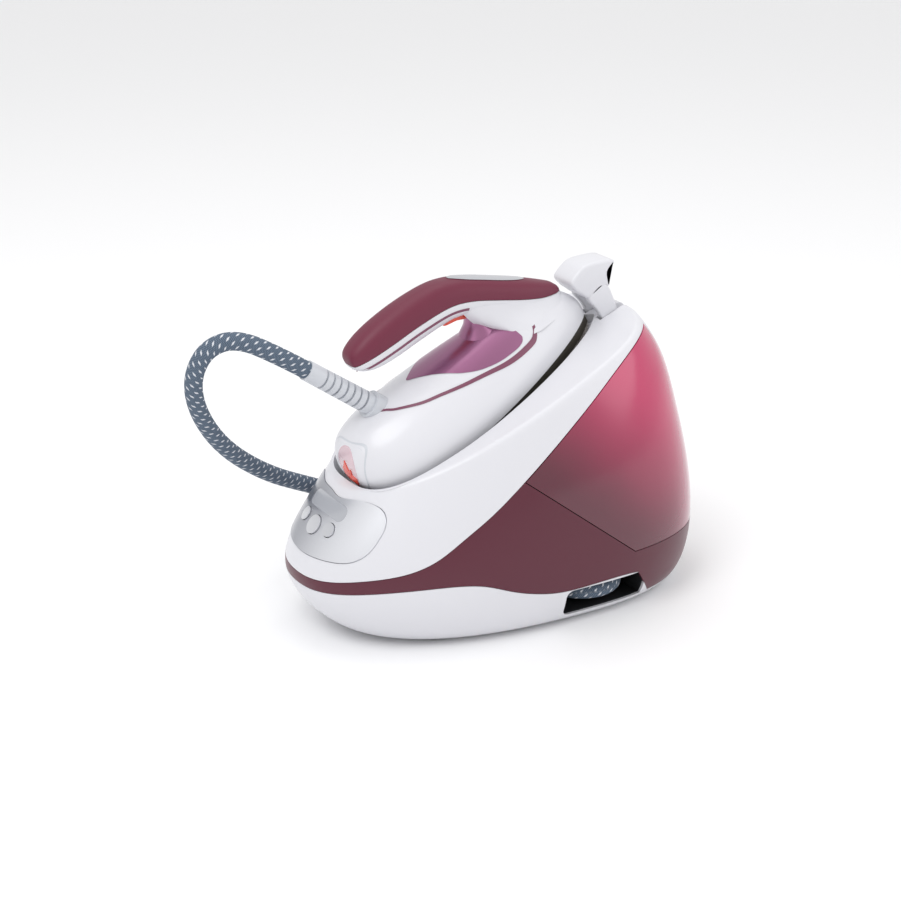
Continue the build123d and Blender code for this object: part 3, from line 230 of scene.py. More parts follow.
def lacquer(slot, dark, light, across):
    """A metallic lacquer with fine flakes, and painted shade that darkens it towards one side."""
    finish = Finish(slot, light, roughness=0.30, metallic=0.75, coat=0.5)
    x, y, z = finish.axes()
    # painted shade: the colour runs from the dark tone to the light one across the piece, as light falls on
    # it
    shade = across(x, y, z)
    flakes = finish.noise(3800.0, 1.0)
    finish.colour(finish.mix(shade + (flakes - 0.5) * 0.25, dark, light))
    finishes[slot] = finish


# each rule below sets the painted shade across its panel
lacquer("mauve_metallic", linear(122, 70, 104), linear(178, 118, 156),
        lambda x, y, z: (x * 0.004 + z * 0.001) + 0.35)
lacquer("silver_plastic", linear(150, 152, 160), linear(224, 225, 230),
        lambda x, y, z: (y * -0.012 + 0.45).step(0.0, 1.0))
lacquer("button_silver", linear(196, 197, 202), linear(226, 227, 231), lambda x, y, z: y * 0.01 + 0.5)

# %% [markdown]
# The tank is pink, with painted shade that darkens it low down and towards the front, and a painted highlight
# that makes it paler at its rear end.

# %% Tank
tank = Finish("tank_pink", linear(192, 90, 120), coat=0.7, roughness=0.16)
x, y, z = tank.axes()
# painted light and shade: lighter high up and towards the rear, darker low down and at the front
lit = (z * 0.006 + x * 0.0042 - 0.72) + (tank.noise(9.0) - 0.5) * 0.25
lit = lit.step(0.05, 0.95)
deep = tank.mix(lit, linear(84, 12, 38), linear(186, 44, 92))
# painted highlight: paler towards the rear end
pale = tank.mix((x * 0.02 - 2.6).step(0.0, 1.0), deep, linear(160, 66, 96))
tank.colour(pale)
finishes["tank_pink"] = tank

# %% [markdown]
# Metals are plain, with an uneven polish. The last two plastics belong to the feet and the inner pipes.

# %% Metals and rubber
POLISH_PATCHES = 300.0
POLISH_WANDER = 0.12


def metal(slot, colour, roughness):
    finish = Finish(slot, colour, metallic=1.0)
    finish.feed(finish.shader.inputs["Roughness"], finish.noise(POLISH_PATCHES) * POLISH_WANDER
                + (roughness - POLISH_WANDER / 2))
    finishes[slot] = finish


metal("sole_steel", linear(196, 190, 182), 0.28)
metal("chamber_aluminium", linear(190, 190, 192), 0.45)
metal("heater_steel", linear(130, 130, 134), 0.4)
metal("boiler_steel", linear(196, 196, 198), 0.3)
metal("brass", linear(206, 170, 96), 0.3)
metal("pin_steel", linear(198, 198, 202), 0.2)
plastic("foot_rubber", linear(44, 44, 47), roughness=0.7, coat=0.0, grain=900.0, grain_depth=0.1)
plastic("pipe_white", linear(214, 214, 216), roughness=0.45, coat=0.0)
print(len(finishes), "finishes")

# %% [markdown]
# ## Smooth copies of the moulded pieces
# The frame's meshes are loose triangles. A copy with its corners joined can be shaded as one moulding,
# with sharp edges only where the real piece has them.

# %% Copies
COPY_SHARP = math.radians(32)
LOFT_SHARP = math.radians(42)
WELD = 2e-6
made = {}


def body_of(node):
    return next(body for body, members in frame["record"]["behaviour"]["bodies"].items() if node in members)


def add_piece(name, mesh, body, finish, *replaced):
    """A finished mesh becomes a piece that rides on a body and takes one finish."""
    piece = bpy.data.objects.new(name, mesh)
    bpy.context.scene.collection.objects.link(piece)
    mesh.materials.clear()
    mesh.materials.append(finishes[finish].material)
    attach(piece, body)
    if replaced:
        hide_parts(*replaced)
    made[name] = piece
    return piece


def smooth_copy(node):
    mesh = nodes[node].data.copy()
    form = bmesh.new()
    form.from_mesh(mesh)
    bmesh.ops.remove_doubles(form, verts=form.verts, dist=WELD)
    bmesh.ops.recalc_face_normals(form, faces=form.faces)
    form.to_mesh(mesh)
    form.free()
    for name in [a.name for a in mesh.attributes if a.name == "custom_normal"]:
        mesh.attributes.remove(mesh.attributes[name])
    mesh.shade_smooth()
    mesh.set_sharp_from_angle(angle=COPY_SHARP)
    return add_piece(node + ".skin", mesh, body_of(node), slots[node], node)


# these are deep inside and keep the frame's own meshes
HIDDEN = {"control_board", "boiler", "boiler_element", "boiler_thermostat", "steam_valve", "pump",
          "water_pipe", "steam_pipe", "valve_seat", "steam_chamber", "sole_element", "iron_thermostat",
          "trigger_switch", "case_screws", "trigger_pin", "bail_pin", "flap_pin"}
for node in sorted(HIDDEN):
    nodes[node].data.materials.clear()
    nodes[node].data.materials.append(finishes[slots[node]].material)
# these are drawn afresh further down
REBUILT = {"steam_hose", "grip", "handle_frame", "lock_bail", "iron_cover", "saddle", "trim_stripes",
           "heel_window", "heel_reflector", "handle_panel"}
for node in sorted(set(nodes) - HIDDEN - REBUILT):
    smooth_copy(node)
print(len(made), "smooth copies")

# %% [markdown]
# ## Handle
# The handle is one flowing bar: a maroon soft-touch grip over a white under-shell, moulded in two
# halves that meet along a line. Each half is a loft of half superellipses, so its edges are soft.

# %% Iron's own directions
SOLE_TILT = math.radians(28.5)
HEEL = np.array((-123.0, 0.0, 115.3))
ALONG = np.array((math.cos(SOLE_TILT), 0.0, math.sin(SOLE_TILT)))
UP = np.array((-math.sin(SOLE_TILT), 0.0, math.cos(SOLE_TILT)))
ACROSS = np.array((0.0, 1.0, 0.0))


def on_iron(u, y, w):
    """A point along, across and above the sole, in metres in the row frame."""
    return (HEEL + u * ALONG + y * ACROSS + w * UP) * MM


def smooth_rows(rows, count):
    """Rows of numbers resampled by a Catmull-Rom curve through them."""
    rows = np.array(rows, float)
    out = []
    for place in np.linspace(0, len(rows) - 1, count):
        k = min(int(place), len(rows) - 2)
        f = place - k
        before, a, b, after = rows[max(k - 1, 0)], rows[k], rows[k + 1], rows[min(k + 2, len(rows) - 1)]
        out.append(0.5 * (2 * a + (b - before) * f + (2 * before - 5 * a + 4 * b - after) * f * f
                          + (3 * a - before - 3 * b + after) * f ** 3))
    return np.array(out)


def skin(name, rings, closed=True):
    """A mesh over rings of equal count; its two ends are capped when the rings are closed."""
    count = len(rings[0])
    vertices = [tuple(point) for ring in rings for point in ring]
    faces = []
    for ring in range(len(rings) - 1):
        for place in range(count if closed else count - 1):
            after = (place + 1) % count
            faces.append((ring * count + place, ring * count + after,
                          (ring + 1) * count + after, (ring + 1) * count + place))
    if closed:
        faces.append(tuple(reversed(range(count))))
        faces.append(tuple((len(rings) - 1) * count + place for place in range(count)))
    mesh = bpy.data.meshes.new(name)
    mesh.from_pydata(vertices, [], faces)
    form = bmesh.new()
    form.from_mesh(mesh)
    bmesh.ops.recalc_face_normals(form, faces=form.faces)
    form.to_mesh(mesh)
    form.free()
    mesh.shade_smooth()
    mesh.set_sharp_from_angle(angle=LOFT_SHARP)
    return mesh


def joined(name, meshes):
    """Several meshes as one."""
    form = bmesh.new()
    for mesh in meshes:
        form.from_mesh(mesh)
        bpy.data.meshes.remove(mesh)
    mesh = bpy.data.meshes.new(name)
    form.to_mesh(mesh)
    form.free()
    mesh.shade_smooth()
    mesh.set_sharp_from_angle(angle=LOFT_SHARP)
    return mesh


# split line along and above the sole, heights above and below it, half width
HANDLE = [(42.5, 114.0, 1.5, 1.5, 4.0), (44.0, 114.0, 8.0, 5.0, 10.0), (50, 113.9, 13.0, 10.0, 13.6),
          (62, 113.2, 17.4, 14.4, 15.6), (80, 112.4, 20.4, 16.1, 16.4), (105, 111.6, 21.4, 16.4, 16.5),
          (130, 109.3, 20.8, 15.7, 16.5), (146, 105.4, 19.0, 14.6, 16.5), (162, 97.2, 17.2, 14.5, 16.5),
          (180, 84.6, 16.2, 24.0, 16.5), (200, 70.0, 15.2, 34.0, 16.2), (217, 58.6, 13.0, 32.0, 14.0),
          (231, 51.2, 9.0, 24.0, 9.5), (237, 49.0, 5.0, 18.0, 6.0), (239.5, 48.5, 1.5, 12.0, 2.5)]
handle_rows = smooth_rows(HANDLE, 120)
line = handle_rows[:, :2]
way = np.gradient(line, axis=0)
way /= np.linalg.norm(way, axis=1)[:, None]
EDGE_POWER = 2.0 / 2.7
SPLIT_GAP = 0.25
THINNEST = 0.4


def half_rings(upper):
    """Rings of one half of the handle: its curved side, then back along the flat where the halves meet."""
    rings = []
    for (u, w, above, below, half), (du, dw) in zip(handle_rows, way):
        reach = max(above if upper else below, THINNEST) * (1 if upper else -1)
        half = max(half, THINNEST)
        turns = np.linspace(0, math.pi, 33)
        ring = []
        for turn in turns:
            side = half * np.sign(math.cos(turn)) * abs(math.cos(turn)) ** EDGE_POWER
            rise = reach * math.sin(turn) ** EDGE_POWER + (SPLIT_GAP if upper else -SPLIT_GAP)
            ring.append(on_iron(u - rise * dw, side, w + rise * du))
        for side in np.linspace(-half, half, 8)[1:-1]:
            rise = SPLIT_GAP if upper else -SPLIT_GAP
            ring.append(on_iron(u - rise * dw, side, w + rise * du))
        rings.append(ring)
    return rings


# a thin mauve line runs along both sides of the white half, a little below the grip, as far as the post
LINE_DROP = 5.2
LINE_TALL = 2.4


def side_line():
    meshes = []
    for side in (-1, 1):
        rings = []
        for (u, w, above, below, half), (du, dw) in list(zip(handle_rows, way))[10:66]:
            ring = []
            for drop, proud in ((LINE_DROP, -0.6), (LINE_DROP, 0.25), (LINE_DROP + LINE_TALL, 0.25),
                                (LINE_DROP + LINE_TALL, -0.6)):
                share = min(drop / below, 0.98)
                reach = half * math.cos(math.asin(share ** (1 / EDGE_POWER))) ** EDGE_POWER
                ring.append(on_iron(u + drop * dw, side * (reach + proud), w - drop * du))
            rings.append(ring)
        meshes.append(skin("line", rings))
    return joined("handle.lines", meshes)


add_piece("grip.top", skin("grip.top", half_rings(True)), "iron", "grip_maroon", "grip")
add_piece("handle.under", skin("handle.under", half_rings(False)), "iron", "white_plastic", "handle_frame")
add_piece("handle.lines", side_line(), "iron", "maroon_line")

# %% [markdown]
# ## Iron body
# The white cover is a smooth lofted shell. The mauve saddle, the dark lines and the heel's window are
# thin inlays in it, so each is drawn on the cover's own surface and stands a hair proud of it.

# %% Cover surface
# height above the sole, heel end, nose end, half width
COVER = [(13, -2.0, 252.0, 56.0), (26, -5.0, 251.0, 55.0), (40, -4.0, 244.0, 48.5), (52, 1.0, 232.0, 39.0),
         (61, 12.0, 213.0, 27.5), (65.6, 24.0, 194.0, 18.0), (67.6, 40.0, 172.0, 9.5),
         (68.2, 58.0, 150.0, 3.0)]
COVER_ROWS = smooth_rows(COVER, 71)
WIDEST = 84.0
HEEL_POWER = 3.0
TIP_POWER = 1.5


def cover_half(u, row):
    """Half the cover's width at a place along the sole, at one height."""
    _, heel, nose, half = row
    end, power = (heel, HEEL_POWER) if u < WIDEST else (nose, TIP_POWER)
    share = (u - WIDEST) / (end - WIDEST)
    return half * (1 - share ** power) ** (1 / power) if share < 1 else 0.0


def cover_height(u, y):
    """The cover's height over a place in plan."""
    halves = [cover_half(u, row) for row in COVER_ROWS]
    heights = [row[0] for row in COVER_ROWS]
    return float(np.interp(-abs(y), [-half for half in halves], heights))


def cover_rings():
    rings = []
    for height, heel, nose, half in COVER_ROWS:
        ring = []
        for turn in np.linspace(0, 2 * math.pi, 160, endpoint=False):
            cosine, sine = math.cos(turn), math.sin(turn)
            end, power = (nose, TIP_POWER) if cosine > 0 else (heel, HEEL_POWER)
            u = WIDEST + (end - WIDEST) * abs(cosine) ** (2 / power)
            ring.append(on_iron(u, half * np.sign(sine) * abs(sine) ** (2 / power), height))
        rings.append(ring)
    return rings


add_piece("iron.cover", skin("iron.cover", cover_rings()), "iron", "white_plastic", "iron_cover")


def inlay(name, rows, proud):
    """A sheet over rows of (along, across) places in plan, standing proud of the cover all over."""
    rings = [[on_iron(u, y * (1 + proud / 60), cover_height(u, y) + proud) for u, y in row] for row in rows]
    return skin(name, rings, closed=False)


# %% [markdown]
# The saddle is a leaf shape, pointed towards the heel and forked round the handle's post.

# %% Saddle and lines
SADDLE_EDGE = [(79, 0.5), (88, 8), (96, 14.5), (112, 26.7), (121, 31.3), (130, 33.9), (140, 34.9),
               (150, 34.8), (160, 33.6), (170, 31.8), (177, 29.4), (180, 26.8)]
SADDLE_FRONT = [(166, 0.0), (172, 10.0), (178, 20.0), (180, 26.8)]
edge = smooth_rows(SADDLE_EDGE, 90)
front = smooth_rows(SADDLE_FRONT, 30)
saddle_rows = []
for u in np.linspace(79.5, 179.8, 80):
    outer = np.interp(u, edge[:, 0], edge[:, 1])
    inner = np.interp(u, front[:, 0], front[:, 1], left=0.0)
    saddle_rows.append((u, inner, outer))
SADDLE_PROUD, LINE_PROUD = 0.45, 0.35
saddle_meshes = []
for side in (-1, 1):
    rows = [[(u, side * (inner + (outer - inner) * share)) for share in np.linspace(0, 1, 26)]
            for u, inner, outer in saddle_rows]
    saddle_meshes.append(inlay("saddle", rows, SADDLE_PROUD))
add_piece("iron.saddle", joined("iron.saddle", saddle_meshes), "iron", "mauve_metallic", "saddle")
LINE = [(44, 11.5), (47, 14), (54, 20.5), (71.5, 29.1), (90.3, 33.6), (109.6, 36.6), (129.5, 37.6),
        (149.7, 37.4), (166.3, 35.2), (183.3, 31.0), (190.5, 27.6), (194.5, 23.5), (195.8, 19.8),
        (194.5, 16.8)]
LINE_WIDE = 2.3
line_rows = smooth_rows(LINE, 160)
steps = np.gradient(line_rows, axis=0)
steps /= np.linalg.norm(steps, axis=1)[:, None]
line_meshes = []
for side in (-1, 1):
    rows = []
    for (u, y), (du, dy) in zip(line_rows, steps):
        rows.append([(u + dy * off, side * (y - du * off))
                     for off in np.linspace(-LINE_WIDE / 2, LINE_WIDE / 2, 5)])
    line_meshes.append(inlay("line", rows, LINE_PROUD))
add_piece("iron.lines", joined("iron.lines", line_meshes), "iron", "maroon_line", "trim_stripes")

# %% [markdown]
# A silver inlay lies in the top of the grip, and the white half flares down on both sides into the
# cover, round a mauve column that carries the saddle up to the trigger.

# %% Grip inlay and post
PANEL_FROM, PANEL_TO, PANEL_HALF = 146.0, 207.0, 9.0
PANEL_PROUD = 0.5


def grip_inlay():
    rows = [(row, step) for row, step in zip(handle_rows, way) if PANEL_FROM <= row[0] <= PANEL_TO]
    rings = []
    for place, ((u, w, above, below, half), (du, dw)) in enumerate(rows):
        wide = PANEL_HALF * max(0.05, 1 - abs(2 * place / (len(rows) - 1) - 1) ** 3.0) ** 0.5
        ring = []
        for share in np.linspace(-1, 1, 15):
            y = share * wide
            swell = (1 - (abs(y) / half) ** (2 / EDGE_POWER)) ** (EDGE_POWER / 2)
            rise = above * swell + SPLIT_GAP + PANEL_PROUD
            ring.append(on_iron(u - rise * dw, y, w + rise * du))
        rings.append(ring)
    return skin("grip.inlay", rings, closed=False)


add_piece("grip.inlay", grip_inlay(), "iron", "silver_plastic", "handle_panel")
# each row: a place on the handle's side and one on the cover, as (along, across, above)
FLARE = [((147, 12.0, 95.0), (157, 5.0, 70.0)), ((153, 15.0, 94.0), (166, 14.0, 62.5)),
         ((162, 16.3, 91.0), (174, 20.5, 56.0)), ((172, 16.6, 86.0), (182, 26.0, 47.0)),
         ((184, 16.6, 78.0), (196, 27.0, 42.0)), ((198, 16.2, 69.0), (210, 23.0, 39.0)),
         ((212, 14.6, 60.0), (222, 18.0, 36.0)), ((224, 12.0, 53.5), (233, 13.0, 33.0)),
         ((234, 7.5, 49.0), (241, 8.0, 30.0)), ((240, 1.0, 47.0), (246, 2.0, 28.0))]
flare_rows = smooth_rows([[*high, *low] for high, low in FLARE], 70)

# how far out the bend of each flared line sits, along, across and down
KNEE = np.array((0.35, 0.1, 0.62))


def flare_place(row, share):
    """A place on the flared side: it leaves the handle straight down and runs out along the cover."""
    high, low = row[:3], row[3:]
    knee = high + KNEE * (low - high)
    return (1 - share) ** 2 * high + 2 * share * (1 - share) * knee + share ** 2 * low


flares = []
for side in (-1, 1):
    rings = []
    for row in flare_rows:
        ring = [flare_place(row, share) for share in np.linspace(0, 1, 24)]
        rings.append([on_iron(u, side * y, w) for u, y, w in ring])
    flares.append(skin("flare", rings, closed=False))
add_piece("handle.flare", joined("handle.flare", flares), "iron", "white_plastic")
# height above the sole, end towards the heel, end towards the nose, half width
COLUMN = [(58, 124, 176, 19), (62, 130, 174, 17), (66, 136, 172, 15), (70, 142, 170, 13),
          (74, 147.5, 169, 11.5), (80, 151.5, 168, 10.5), (86, 153.5, 167, 10.0), (92, 154.5, 167, 10.0)]
column_rings = []
for height, first, last, half in smooth_rows(COLUMN, 40):
    turns = np.linspace(0, 2 * math.pi, 72, endpoint=False)
    middle, reach = (first + last) / 2, (last - first) / 2
    column_rings.append([on_iron(middle - reach * math.cos(turn), half * math.sin(turn), height)
                         for turn in turns])
add_piece("saddle.column", skin("saddle.column", column_rings), "iron", "mauve_metallic")

# %% [markdown]
# A flat panel with rounded corners closes the heel: a pale rim, an oval window and a red faceted lens
# low in it.

# %% Heel panel
HEEL_AT = 39.0
PATCH_SINK = on_iron(1.2, 0, 0) - on_iron(0, 0, 0)


def heel_place(y, w):
    heel, half = (float(np.interp(w, COVER_ROWS[:, 0], COVER_ROWS[:, column])) for column in (1, 3))
    share = max(0.0, 1 - min(abs(y) / half, 1.0) ** HEEL_POWER) ** (1 / HEEL_POWER)
    return WIDEST - share * (WIDEST - heel)


def heel_patch(name, centre, half_wide, half_tall, power, proud):
    rings = []
    for share in np.linspace(0.02, 1, 12):
        ring = []
        for turn in np.linspace(0, 2 * math.pi, 64, endpoint=False):
            cosine, sine = math.cos(turn), math.sin(turn)
            y = centre[0] + share * half_wide * np.sign(cosine) * abs(cosine) ** (2 / power)
            w = centre[1] + share * half_tall * np.sign(sine) * abs(sine) ** (2 / power)
            ring.append(on_iron(heel_place(y, w) - proud, y, w))
        rings.append(ring)
    rings.append([point + PATCH_SINK for point in rings[-1]])
    return skin(name, rings)


rim = heel_patch("heel.rim", (-4, HEEL_AT), 24, 20.0, 4.0, 0.35)
add_piece("heel.rim", rim, "iron", "grey_plastic")
panel = heel_patch("heel.panel", (-4, HEEL_AT), 23, 19.2, 4.0, 0.5)
add_piece("heel.panel", panel, "iron", "white_plastic")
window = heel_patch("heel.window", (-5, HEEL_AT), 13.5, 17.5, 2.4, 0.8)
add_piece("heel.window", window, "iron", "window_pink", "heel_window")
# the lens: its outline across and above the sole, its rim's and its facets' common height, its middle
FLAME = [(-4, 46), (-1, 41), (2.5, 38), (3.5, 31), (0, 24), (-7, 22.5), (-14, 24), (-16, 31), (-11, 34),
         (-12, 40), (-8, 38)]
FLAME_PROUD, FLAME_TOP = 1.6, 2.6
FLAME_MIDDLE = (-6, 32)
flame_rings = [[on_iron(heel_place(y, w) - proud, y, w) for y, w in FLAME] for proud in (0.0, FLAME_PROUD)]
flame_peak = on_iron(heel_place(*FLAME_MIDDLE) - FLAME_TOP, *FLAME_MIDDLE)
flame_rings.append([flame_peak * 0.6 + point * 0.4 for point in flame_rings[-1]])
add_piece("heel.flame", skin("heel.flame", flame_rings), "iron", "red_plastic", "heel_reflector")

# %% [markdown]
# ## Lock bail
# A white loop on a hinge at the cradle's high end: two flat arms run up into one finger pad, hooked over
# the iron's nose. Smooth side outlines, run across and bevelled, keep its moulded edges soft.

# %% Bail
BEVEL_STEPS = 4
RIM_ANGLE = math.radians(60)


def closed_curve(corners, each=6):
    """A smooth closed outline through the given corners."""
    loop = [corners[-1], *corners, corners[0], corners[1]]
    rows = smooth_rows(loop, (len(loop) - 1) * each + 1)
    return rows[each:-2 * each]


def prism(outline, low, high, soft):
    """A side-view outline run across from one Y to another, its rims bevelled."""
    count = len(outline)
    vertices = [(x * MM, side * MM, z * MM) for side in (low, high) for x, z in outline]
    faces = [tuple(range(count)), tuple(reversed(range(count, 2 * count)))]
    faces += [(place, count + place, count + (place + 1) % count, (place + 1) % count)
              for place in range(count)]
    mesh = bpy.data.meshes.new("prism")
    mesh.from_pydata(vertices, [], faces)
    form = bmesh.new()
    form.from_mesh(mesh)
    bmesh.ops.recalc_face_normals(form, faces=form.faces)
    rims = [rim for rim in form.edges if rim.calc_face_angle(0.0) > RIM_ANGLE]
    bmesh.ops.bevel(form, geom=rims, offset=soft * MM, segments=BEVEL_STEPS, profile=0.5, affect="EDGES")
    form.to_mesh(mesh)
    form.free()
    return mesh


BAIL_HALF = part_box("lock_bail")[1].y / MM
BAIL_ARM_WIDE = 7
BAIL_ARM = [(110, 224), (105, 238), (98, 250), (88, 263), (98, 274), (107, 272), (113, 262), (119, 248),
            (125, 233), (119, 223)]
BAIL_PAD = [(90, 262.5), (80, 267.5), (73, 273), (69, 279.5), (76, 288), (84, 293), (98, 294.8), (111, 294.6),
            (114, 291.5), (108, 284), (110, 272), (103, 271)]
arm = closed_curve(BAIL_ARM)
ARM_SOFT, PAD_SOFT = 1.6, 2.6
bail_mesh = joined("bail.loop", [prism(arm, -BAIL_HALF, -BAIL_HALF + BAIL_ARM_WIDE, ARM_SOFT),
                                 prism(arm, BAIL_HALF - BAIL_ARM_WIDE, BAIL_HALF, ARM_SOFT),
                                 prism(closed_curve(BAIL_PAD), -BAIL_HALF, BAIL_HALF, PAD_SOFT)])
add_piece("bail.loop", bail_mesh, "bail", "white_plastic", "lock_bail")

# %% [markdown]
# ## Steam hose
# A braided textile sleeve over a rubber tube: slate blue, with light flecks in steady rows. It starts in
# the tunnel's far mouth, loops out of the near one and back through, lies behind the base and climbs to
# the iron's cuff.

# %% Hose route
HOSE_RADIUS = 7.5 * MM
HOSE_POINTS = [(22.5, 62, 24.75), (22.5, -6, 24.75), (22, -78.5, 24.6), (53, -96.5, 24.8), (84, -78.5, 24.6),
               (84, -8, 24.4), (78, 62, 24.8), (78, 120, 20), (98, 172, 9), (132, 222, 8.2), (140, 280, 8.4),
               (98, 316, 8.2), (44, 300, 8.6), (18, 248, 11), (-12, 190, 24), (-66, 140, 54), (-128, 110, 88),
               (-180, 86, 118), (-228, 62, 158), (-258, 41, 201), (-268, 27, 237), (-258, 18, 264),
               (-235, 9, 272), (-201.826, 0, 253.934), (-172.157, 0, 233.544)]


def hose_line():
    """The hose's smooth middle line, as points read from its NURBS curve."""
    curve = bpy.data.curves.new("hose_route", "CURVE")
    curve.dimensions = "3D"
    curve.resolution_u = 24
    line = curve.splines.new("NURBS")
    line.points.add(len(HOSE_POINTS) - 1)
    for place, (px, py, pz) in enumerate(HOSE_POINTS):
        line.points[place].co = (px * MM, py * MM, pz * MM, 1.0)
    line.order_u = 3
    line.use_endpoint_u = True
    holder = bpy.data.objects.new("hose_route", curve)
    bpy.context.scene.collection.objects.link(holder)
    bpy.context.view_layer.update()
    mesh = bpy.data.meshes.new_from_object(holder)
    points = [vertex.co.copy() for vertex in mesh.vertices]
    bpy.data.objects.remove(holder)
    bpy.data.curves.remove(curve)
    bpy.data.meshes.remove(mesh)
    return points


def evenly(points, step):
    """Points at even distances along a line."""
    line = np.array(points)
    along = np.concatenate(([0.0], np.cumsum(np.linalg.norm(np.diff(line, axis=0), axis=1))))
    count = max(2, int(round(along[-1] / step)) + 1)
    places = np.linspace(0.0, along[-1], count)
    return np.stack([np.interp(places, along, line[:, axis]) for axis in range(3)], axis=1), along[-1]


def frames_along(line):
    """Two directions across the line at each point, carried along without twist."""
    tangents = np.gradient(line, axis=0)
    tangents /= np.linalg.norm(tangents, axis=1)[:, None]
    side = np.cross(tangents[0], (0, 0, 1.0))
    side /= np.linalg.norm(side)
    sides = []
    for tangent in tangents:
        side = side - tangent * side.dot(tangent)
        side /= np.linalg.norm(side)
        sides.append(side)
    sides = np.array(sides)
    return tangents, sides, np.cross(tangents, sides)


def tube_mesh(name, line, radii, around):
    """A tube with capped ends."""
    _, sides, ups = frames_along(line)
    turn = np.linspace(0, 2 * math.pi, around, endpoint=False)
    rings = (line[:, None, :] + radii[:, None, None] * (np.cos(turn)[None, :, None] * sides[:, None, :]
             + np.sin(turn)[None, :, None] * ups[:, None, :]))
    vertices = rings.reshape(-1, 3).tolist()
    faces = []
    for ring in range(len(line) - 1):
        for place in range(around):
            after = (place + 1) % around
            faces.append((ring * around + place, ring * around + after,
                          (ring + 1) * around + after, (ring + 1) * around + place))
    faces.append(tuple(reversed(range(around))))
    faces.append(tuple((len(line) - 1) * around + place for place in range(around)))
    mesh = bpy.data.meshes.new(name)
    mesh.from_pydata(vertices, [], faces)
    mesh.shade_smooth()
    form = bmesh.new()
    form.from_mesh(mesh)
    bmesh.ops.recalc_face_normals(form, faces=form.faces)
    form.to_mesh(mesh)
    form.free()
    return mesh


HOSE_STEP = 1.6 * MM
HOSE_SIDES = 32
route, hose_length = evenly(hose_line(), HOSE_STEP)
print("hose length", round(hose_length, 4))
braid = np.full(len(route), HOSE_RADIUS)
hose_mesh = tube_mesh("steam_hose_tube", route, braid, HOSE_SIDES)
uv = hose_mesh.uv_layers.new(name="UVMap")
for loop in hose_mesh.loops:
    ring, place = divmod(loop.vertex_index, HOSE_SIDES)
    uv.data[loop.index].uv = (place / HOSE_SIDES, ring * hose_length / (len(route) - 1))

# %% [markdown]
# Between the light flecks the braid is a fine diagonal weave. Both are drawn from the tube's own
# coordinates, round and along, so they follow every bend.

# %% Hose finish
hose = Finish("hose_fabric", linear(91, 107, 123), roughness=0.85)
split = hose.tree.nodes.new("ShaderNodeSeparateXYZ")
hose.feed(split.inputs[0], hose.node("ShaderNodeUVMap", "UV", {"uv_map": "UVMap"}))
round_it = Value(hose, split.outputs["X"])
along_it = Value(hose, split.outputs["Y"]) * 1000.0
STRAND_PITCH, STRANDS = 1.3, 16.0
FLECK_PITCH, FLECKS = 5.2, 8.0
strand_a = (along_it / STRAND_PITCH + round_it * STRANDS).math("FRACT")
strand_b = (along_it / STRAND_PITCH - round_it * STRANDS).math("FRACT")
ridge = (strand_a - 0.5).math("ABSOLUTE") + (strand_b - 0.5).math("ABSOLUTE")
fleck_row = (round_it * FLECKS + (along_it / FLECK_PITCH * 0.5)).math("FRACT")
fleck_line = (along_it / FLECK_PITCH + (round_it * FLECKS) * 0.5).math("FRACT")
fleck_wide = (0.22 - (fleck_row - 0.5).math("ABSOLUTE")).step(0.0, 0.06)
fleck_long = (0.16 - (fleck_line - 0.5).math("ABSOLUTE")).step(0.0, 0.05)
fleck = fleck_wide * fleck_long
weave = hose.mix(ridge.step(0.2, 0.9), linear(62, 74, 90), linear(108, 124, 142))
hose.colour(hose.mix(fleck, weave, linear(214, 216, 222)))
hose.bump(ridge + fleck * 0.5, strength=0.6, distance=0.0006)
finishes["hose_fabric"] = hose
hose_piece = bpy.data.objects.new("steam_hose_tube", hose_mesh)
bpy.context.scene.collection.objects.link(hose_piece)
hose_mesh.materials.append(hose.material)
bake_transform(hose_piece, "base", "iron", start=tuple(route[0]), end=tuple(route[-1]))
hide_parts("steam_hose")

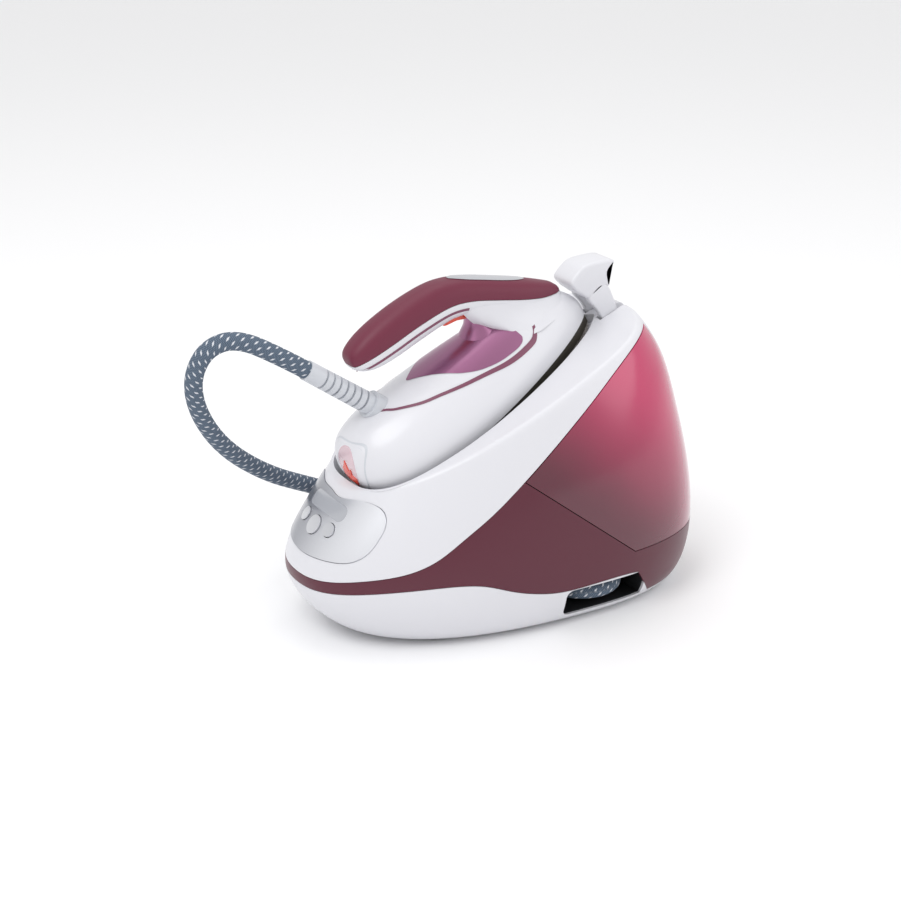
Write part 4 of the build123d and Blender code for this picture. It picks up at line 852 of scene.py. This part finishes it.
# %% [markdown]
# ## Studio
# A pale floor and a pale world. The key lamp is high on the heel's side, a second lamp hangs overhead
# and a weak one fills in from the tank's end.

# %% Floor, lights and camera
FLOOR = 40
floor_mesh = bpy.data.meshes.new("floor")
corners = [(-FLOOR, -FLOOR, 0), (FLOOR, -FLOOR, 0), (FLOOR, FLOOR, 0), (-FLOOR, FLOOR, 0)]
floor_mesh.from_pydata(corners, [], [(0, 1, 2, 3)])
floor = bpy.data.objects.new("floor", floor_mesh)
bpy.context.scene.collection.objects.link(floor)
floor_finish = Finish("studio_floor", linear(246, 246, 247), roughness=0.7)
floor_mesh.materials.append(floor_finish.material)


def lamp(name, place, target, size, power):
    light = bpy.data.lights.new(name, "AREA")
    light.shape = "DISK"
    light.size = size
    light.energy = power
    holder = bpy.data.objects.new(name, light)
    bpy.context.scene.collection.objects.link(holder)
    holder.location = place
    holder.rotation_euler = (Vector(target) - Vector(place)).to_track_quat("-Z", "Y").to_euler()


MIDDLE = (-0.02, 0.0, 0.12)
lamp("key", (-1.2, -0.6, 1.9), MIDDLE, 1.1, 14.0)
lamp("fill", (1.5, -1.4, 0.9), MIDDLE, 1.4, 5.0)
lamp("top", (0.2, 0.4, 2.2), MIDDLE, 1.6, 8.0)
world = bpy.data.worlds.new("studio")
world.use_nodes = True
world.node_tree.nodes["Background"].inputs[0].default_value = (1.0, 1.0, 1.0, 1.0)
world.node_tree.nodes["Background"].inputs[1].default_value = 0.88
bpy.context.scene.world = world
bpy.context.scene.view_settings.view_transform = "Standard"

camera_data = bpy.data.cameras.new("camera")
camera_data.lens = 71.77
camera_data.sensor_width = 36.0
camera = bpy.data.objects.new("camera", camera_data)
bpy.context.scene.collection.objects.link(camera)
CAMERA_AT = Vector((-0.78726, -1.28920, 0.71772))
CAMERA_TARGET = Vector((-0.04292, 0.0, 0.13132))
camera.location = CAMERA_AT
camera.rotation_euler = (CAMERA_TARGET - CAMERA_AT).to_track_quat("-Z", "Y").to_euler()
bpy.context.scene.camera = camera
